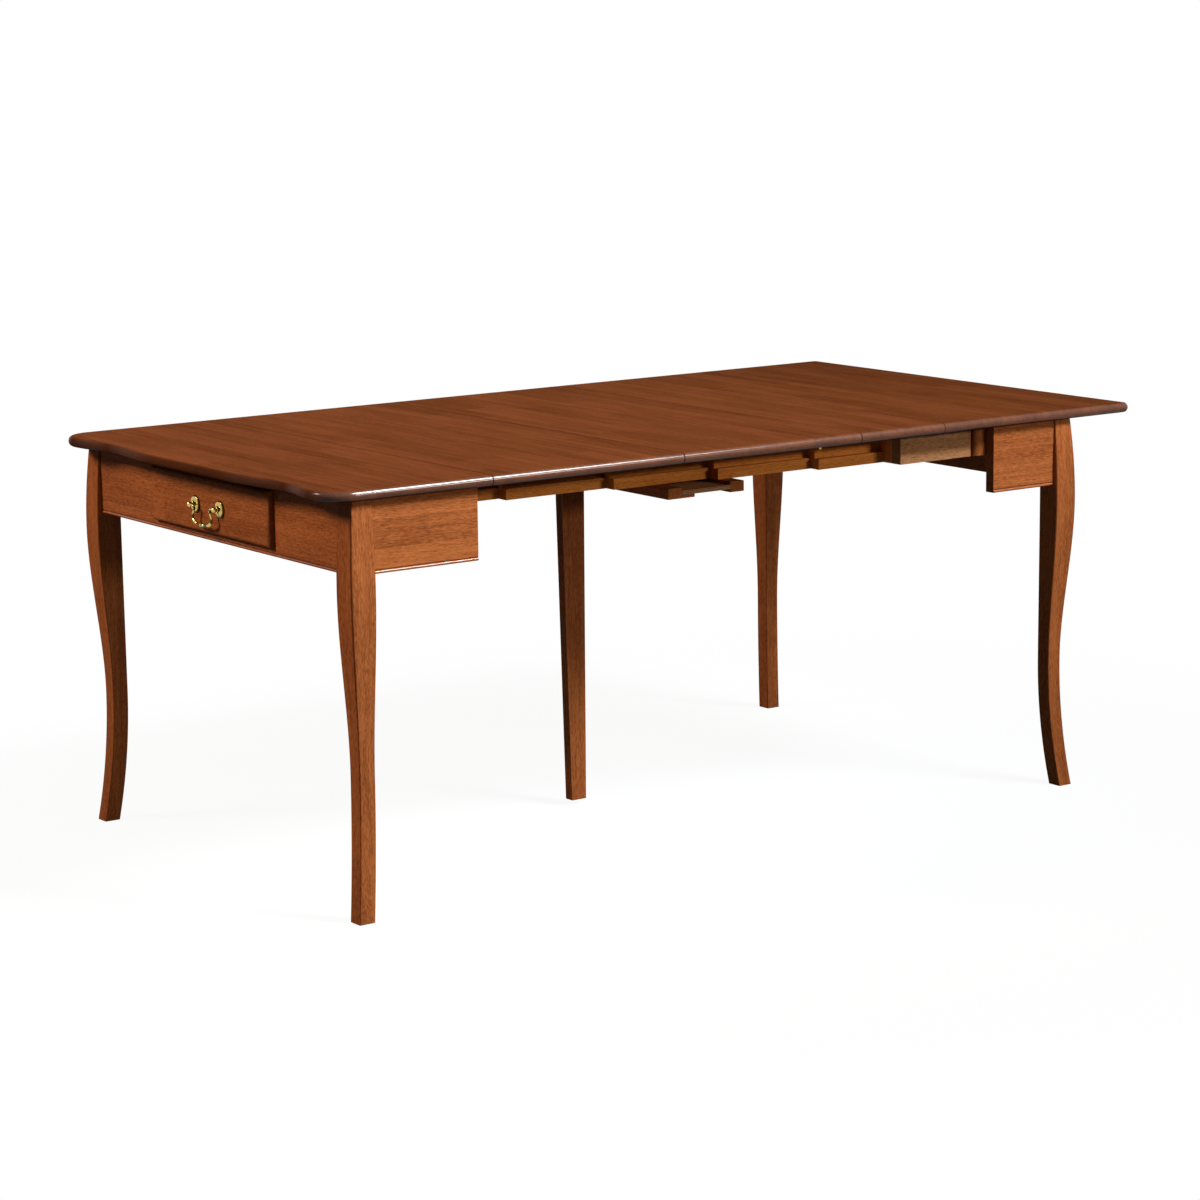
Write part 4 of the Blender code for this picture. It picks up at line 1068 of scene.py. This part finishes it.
class TABLE_OT_pull(bpy.types.Operator):
    """Make the brass rosettes and posts, and the bail between them"""

    bl_idname = "table.pull"
    bl_label = "Bail Pull"

    def execute(self, context):
        sizes = context.scene.table_pull
        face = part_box("drawer_front")[0].x
        swing = next(joint for joint in frame["joints"] if joint["name"] == "bail_swing")
        pivot = Vector(swing["pos_m"])
        profile = turned_post(sizes, face - pivot.x)
        for word, _ in SIDES:
            low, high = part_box("pull_post_" + word)
            centre = (low + high) / 2
            spacing = 2 * abs(centre.y)
            post = spun("pull_post_%s_finished" % word, profile, Vector((face, centre.y, centre.z)))
            seat(post, "pull_post_" + word)
            paint(NODES["pull_nut_" + word], "polished_brass")
        line = self.bail_line(sizes, pivot, spacing)
        bail = grown(bail_tree(finish("polished_brass")), "pull_bail_finished", {"Sides": WIRE_SIDES}, line)
        bail.data.shade_smooth()
        hollow = bail.data.attributes.new("hollow", "FLOAT", "POINT")
        for vert, depth in zip(bail.data.vertices, hollow.data):
            depth.value = bail_patina_and_shade(sizes, vert.co.y - pivot.y, vert.co.z - pivot.z)
        seat(bail, "pull_bail")
        return {"FINISHED"}

    def bail_line(self, sizes, pivot, spacing):
        """The bail's line as a curve, with the wire's thickness at each point."""
        line = bpy.data.curves.new("bail_line", "CURVE")
        line.dimensions = "3D"
        run = line.splines.new("POLY")
        points = bail_points(sizes, spacing)
        run.points.add(len(points) - 1)
        for spot, (y, z) in zip(run.points, points):
            spot.co = (pivot.x, pivot.y + y, pivot.z + z, 1.0)
            spot.radius = bail_radius(sizes, y, z)
        return line


# Screws

HEAD_SEGMENTS = 16
HEAD_RINGS = 8
SLOT_LENGTH = 3
SLOT_WIDTH = 0.24
SLOT_DEPTH = 0.9
RAIL_SCREW_INSET = 1 / 3
BLOCK_SCREW_LEVELS = (0.3, 0.7)


def screw_tree(material):
    """Geometry nodes that set a slotted round head on every point, facing the point's own way."""
    net, put = new_tree("Screw heads", {"Spots": "Geometry", "Radius": "Float", "Rise": "Float"})
    radius = put["Radius"]
    rise = put["Rise"]
    ball = net.node(
        "GeometryNodeMeshUVSphere", {}, {"Segments": HEAD_SEGMENTS, "Rings": HEAD_RINGS, "Radius": 1.0})
    squat = net.node("ShaderNodeCombineXYZ", {}, {"X": radius, "Y": radius, "Z": rise})
    head = net.node("GeometryNodeTransform", {}, {"Geometry": ball, "Scale": squat})
    slot_size = net.node(
        "ShaderNodeCombineXYZ", {},
        {"X": radius * SLOT_LENGTH, "Y": radius * SLOT_WIDTH, "Z": rise * SLOT_DEPTH})
    slot = net.node("GeometryNodeMeshCube", {}, {"Size": slot_size})
    lift = net.node("ShaderNodeCombineXYZ", {}, {"Z": rise})
    raised = net.node("GeometryNodeTransform", {}, {"Geometry": slot, "Translation": lift})
    cut = net.node("GeometryNodeMeshBoolean", {"operation": "DIFFERENCE"}, {"Mesh 1": head, "Mesh 2": raised})
    way = net.node("GeometryNodeInputNamedAttribute", {"data_type": "FLOAT_VECTOR"}, {"Name": "way"})
    spin = net.node("GeometryNodeInputNamedAttribute", {"data_type": "FLOAT"}, {"Name": "spin"})
    facing = net.node("FunctionNodeAlignRotationToVector", {"axis": "Z"}, {"Vector": way})
    turn = net.node("FunctionNodeAxisAngleToRotation", {}, {"Axis": (0.0, 0.0, 1.0), "Angle": spin})
    turned = net.node("FunctionNodeRotateRotation", {"rotation_space": "LOCAL"}, {0: facing, 1: turn})
    placed = net.node(
        "GeometryNodeInstanceOnPoints", {}, {"Points": put["Spots"], "Instance": cut, "Rotation": turned})
    return close_tree(net, placed, material)


def screw_spots(name, spots):
    """A mesh of loose points, each with the way its screw faces and a chance turn."""
    mesh = bpy.data.meshes.new(name)
    mesh.from_pydata([spot for spot, _ in spots], [], [])
    way = mesh.attributes.new("way", "FLOAT_VECTOR", "POINT")
    way.data.foreach_set("vector", [part for _, facing in spots for part in facing])
    draw = random.Random(name)
    spin = mesh.attributes.new("spin", "FLOAT", "POINT")
    spin.data.foreach_set("value", [draw.uniform(0.0, math.pi) for _ in spots])
    return mesh


class TABLE_OT_screws(bpy.types.Operator):
    """Set the stop screws in the slides and the screws that hold the blocks and cross rails"""

    bl_idname = "table.screws"
    bl_label = "Screws"

    def execute(self, context):
        sizes = context.scene.table_wood
        tree = screw_tree(finish("polished_brass"))
        for letter in "bcde":
            spots = []
            stood_for = []
            for word, side in SIDES:
                spots.append(self.stop_spot("slide_%s_%s" % (letter, word), side, sizes))
                node = "stop_screw_%s_%s" % (letter, word)
                if node in NODES:
                    stood_for.append(node)
            if letter == "c":
                spots += self.rail_spots()
            self.heads("stage_" + letter, spots, stood_for, tree, sizes)
        for end, into_x in (("near", 1.0), ("far", -1.0)):
            self.heads(end + "_frame", self.block_spots(end, into_x), [], tree, sizes)
        return {"FINISHED"}

    def stop_spot(self, node, side, sizes):
        """Where a slide's stop screw sits, taken from the one that is a solid of its own."""
        low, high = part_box(node)
        model_low, model_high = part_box("stop_screw_d_left")
        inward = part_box("slide_d_left")[1].y - model_high.y + sizes.screw_rise
        outer = high.y if side > 0 else low.y
        height = (model_low.z + model_high.z) / 2
        return (low.x + sizes.stop_inset, outer - side * inward, height), (0.0, side, 0.0)

    def rail_spots(self):
        """Screws up through the cross rails into the slides that carry them."""
        spots = []
        slide_low, slide_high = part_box("slide_c_left")
        across = slide_high.y - (slide_high.y - slide_low.y) * RAIL_SCREW_INSET
        for node in ("centre_rail_near", "centre_rail_far"):
            low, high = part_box(node)
            for _, side in SIDES:
                spots.append((((low.x + high.x) / 2, side * across, low.z), (0.0, 0.0, -1.0)))
        return spots

    def block_spots(self, end, into_x):
        """Two screws in each glue block of a frame, on its slanted face."""
        spots = []
        for word, side in SIDES:
            low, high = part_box("%s_corner_block_%s" % (end, word))
            half = (high.x - low.x) / 2
            x = low.x + half
            y = (high.y if side > 0 else low.y) - side * half
            way = tuple(Vector((into_x, -side, 0.0)).normalized())
            for level in BLOCK_SCREW_LEVELS:
                spots.append(((x, y, low.z + (high.z - low.z) * level), way))
        return spots

    def heads(self, body, spots, stood_for, tree, sizes):
        """The screw heads of one body as one piece."""
        name = body + "_screws"
        values = {"Radius": sizes.screw_head, "Rise": sizes.screw_rise}
        piece = grown(tree, name, values, screw_spots(name + "_spots", spots))
        paint(piece, "polished_brass")
        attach(piece, body)
        if stood_for:
            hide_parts(*stood_for)


# The stage

WHITE = (1.0, 1.0, 1.0)
FLOOR_PAINT = (0.9, 0.9, 0.9)


class TABLE_OT_stage(bpy.types.Operator):
    """Set up the floor, the soft lamps, the white surround and the camera"""

    bl_idname = "table.stage"
    bl_label = "Stage"

    def execute(self, context):
        sizes = context.scene.table_stage
        self.camera(context.scene, sizes)
        self.surround(context.scene, sizes)
        self.floor(sizes)
        for name in ("front", "high", "low"):
            self.lamp(name, sizes)
        context.scene.view_settings.view_transform = "Standard"
        return {"FINISHED"}

    def camera(self, scene, sizes):
        """The camera, turned to the photograph's view."""
        data = bpy.data.cameras.new("camera")
        data.lens = sizes.camera_lens
        data.sensor_width = sizes.camera_sensor
        camera = bpy.data.objects.new("camera", data)
        scene.collection.objects.link(camera)
        turn, lift, roll = sizes.camera_azimuth, sizes.camera_elevation, sizes.camera_roll
        back = Vector((
            math.sin(turn) * math.cos(lift), -math.cos(turn) * math.cos(lift), math.sin(lift)))
        level = Vector((math.cos(turn), math.sin(turn), 0.0))
        upright = back.cross(level)
        right = level * math.cos(roll) + upright * math.sin(roll)
        up = upright * math.cos(roll) - level * math.sin(roll)
        axes = Matrix((right, up, back)).transposed().to_4x4()
        camera.matrix_world = Matrix.Translation(Vector(sizes.camera)) @ axes
        scene.camera = camera

    def background_rays(self, net):
        """1 for rays that show the background: to the camera, or by way of metal or glass."""
        path = net.node("ShaderNodeLightPath", output="Is Camera Ray")
        seen = net.math("MAXIMUM", path, path.other("Is Glossy Ray"))
        return net.math("MAXIMUM", seen, path.other("Is Transmission Ray"))

    def surround(self, scene, sizes):
        """A white background over a dim even light."""
        world = bpy.data.worlds.new("surround")
        world.use_nodes = True
        scene.world = world
        net = Wire(world.node_tree)
        strength = sizes.ambient + self.background_rays(net) * (1.0 - sizes.ambient)
        net.feed(world.node_tree.nodes["Background"], {"Color": solid(WHITE), "Strength": strength})

    def floor(self, sizes):
        """A pale floor that keeps a faint shadow."""
        shape = bmesh.new()
        bmesh.ops.create_grid(shape, x_segments=1, y_segments=1, size=sizes.floor_size / 2)
        floor = piece_from(shape, "floor")
        material, net, shader = new_material("pale_floor")
        net.tree.nodes.remove(shader)
        paint_coat = net.node("ShaderNodeBsdfDiffuse", {}, {"Color": solid(FLOOR_PAINT)})
        dim = net.node("ShaderNodeBsdfDiffuse", {}, {"Color": solid(WHITE, sizes.floor_grey)})
        white = net.node("ShaderNodeEmission", {}, {"Color": solid(WHITE), "Strength": 1.0})
        point = net.node("ShaderNodeTexCoord", output="Object")
        away = net.node("ShaderNodeVectorMath", {"operation": "LENGTH"}, {0: point}, "Value")
        near = 1 - step(net, away, sizes.floor_fade / 3, sizes.floor_fade)
        shown = net.node("ShaderNodeMixShader", {}, {0: near * sizes.floor_shade, 1: white, 2: paint_coat})
        both = net.node("ShaderNodeMixShader", {}, {0: self.background_rays(net), 1: dim, 2: shown})
        net.feed(net.tree.nodes["Material Output"], {"Surface": both})
        floor.data.materials.append(material)

    def lamp(self, name, sizes):
        """A soft lamp pointed at the table."""
        def given(what):
            return getattr(sizes, "%s_%s" % (name, what))

        data = bpy.data.lights.new(name + "_lamp", "AREA")
        data.shape = "RECTANGLE"
        data.size, data.size_y = given("size")
        data.energy = given("power")
        data.spread = given("spread")
        data.color = given("tint")
        lamp = bpy.data.objects.new(name + "_lamp", data)
        bpy.context.scene.collection.objects.link(lamp)
        lamp.location = given("lamp")
        lamp.rotation_euler = (Vector(given("aim")) - lamp.location).to_track_quat("-Z", "Y").to_euler()


class TABLE_PT_panel(bpy.types.Panel):
    """The table's pieces, in the order in which they are made"""

    bl_idname = "TABLE_PT_panel"
    bl_label = "Extendable Console Table"
    bl_space_type = "VIEW_3D"
    bl_region_type = "UI"
    bl_category = "Table"

    def draw(self, context):
        for operator in OPERATORS:
            self.layout.operator(operator.bl_idname)


GROUPS = {
    "table_top": TopSizes,
    "table_leg": LegSizes,
    "table_pull": PullSizes,
    "table_wood": WoodSizes,
    "table_finishes": Finishes,
    "table_stage": StageSizes,
}
OPERATORS = (
    TABLE_OT_stage, TABLE_OT_top_boards, TABLE_OT_legs, TABLE_OT_frames, TABLE_OT_slides,
    TABLE_OT_middle_support, TABLE_OT_drawer, TABLE_OT_pull, TABLE_OT_screws)


def register():
    """Register the property groups, the operators and the panel."""
    for name, group in GROUPS.items():
        bpy.utils.register_class(group)
        setattr(bpy.types.Scene, name, PointerProperty(type=group))
    for item in (*OPERATORS, TABLE_PT_panel):
        bpy.utils.register_class(item)


def unregister():
    """Take everything out again."""
    for item in (TABLE_PT_panel, *reversed(OPERATORS)):
        bpy.utils.unregister_class(item)
    for name, group in GROUPS.items():
        delattr(bpy.types.Scene, name)
        bpy.utils.unregister_class(group)


def main():
    """Dress the table."""
    register()
    for operator in OPERATORS:
        family, name = operator.bl_idname.split(".")
        getattr(getattr(bpy.ops, family), name)()


if __name__ == "__main__":
    main()
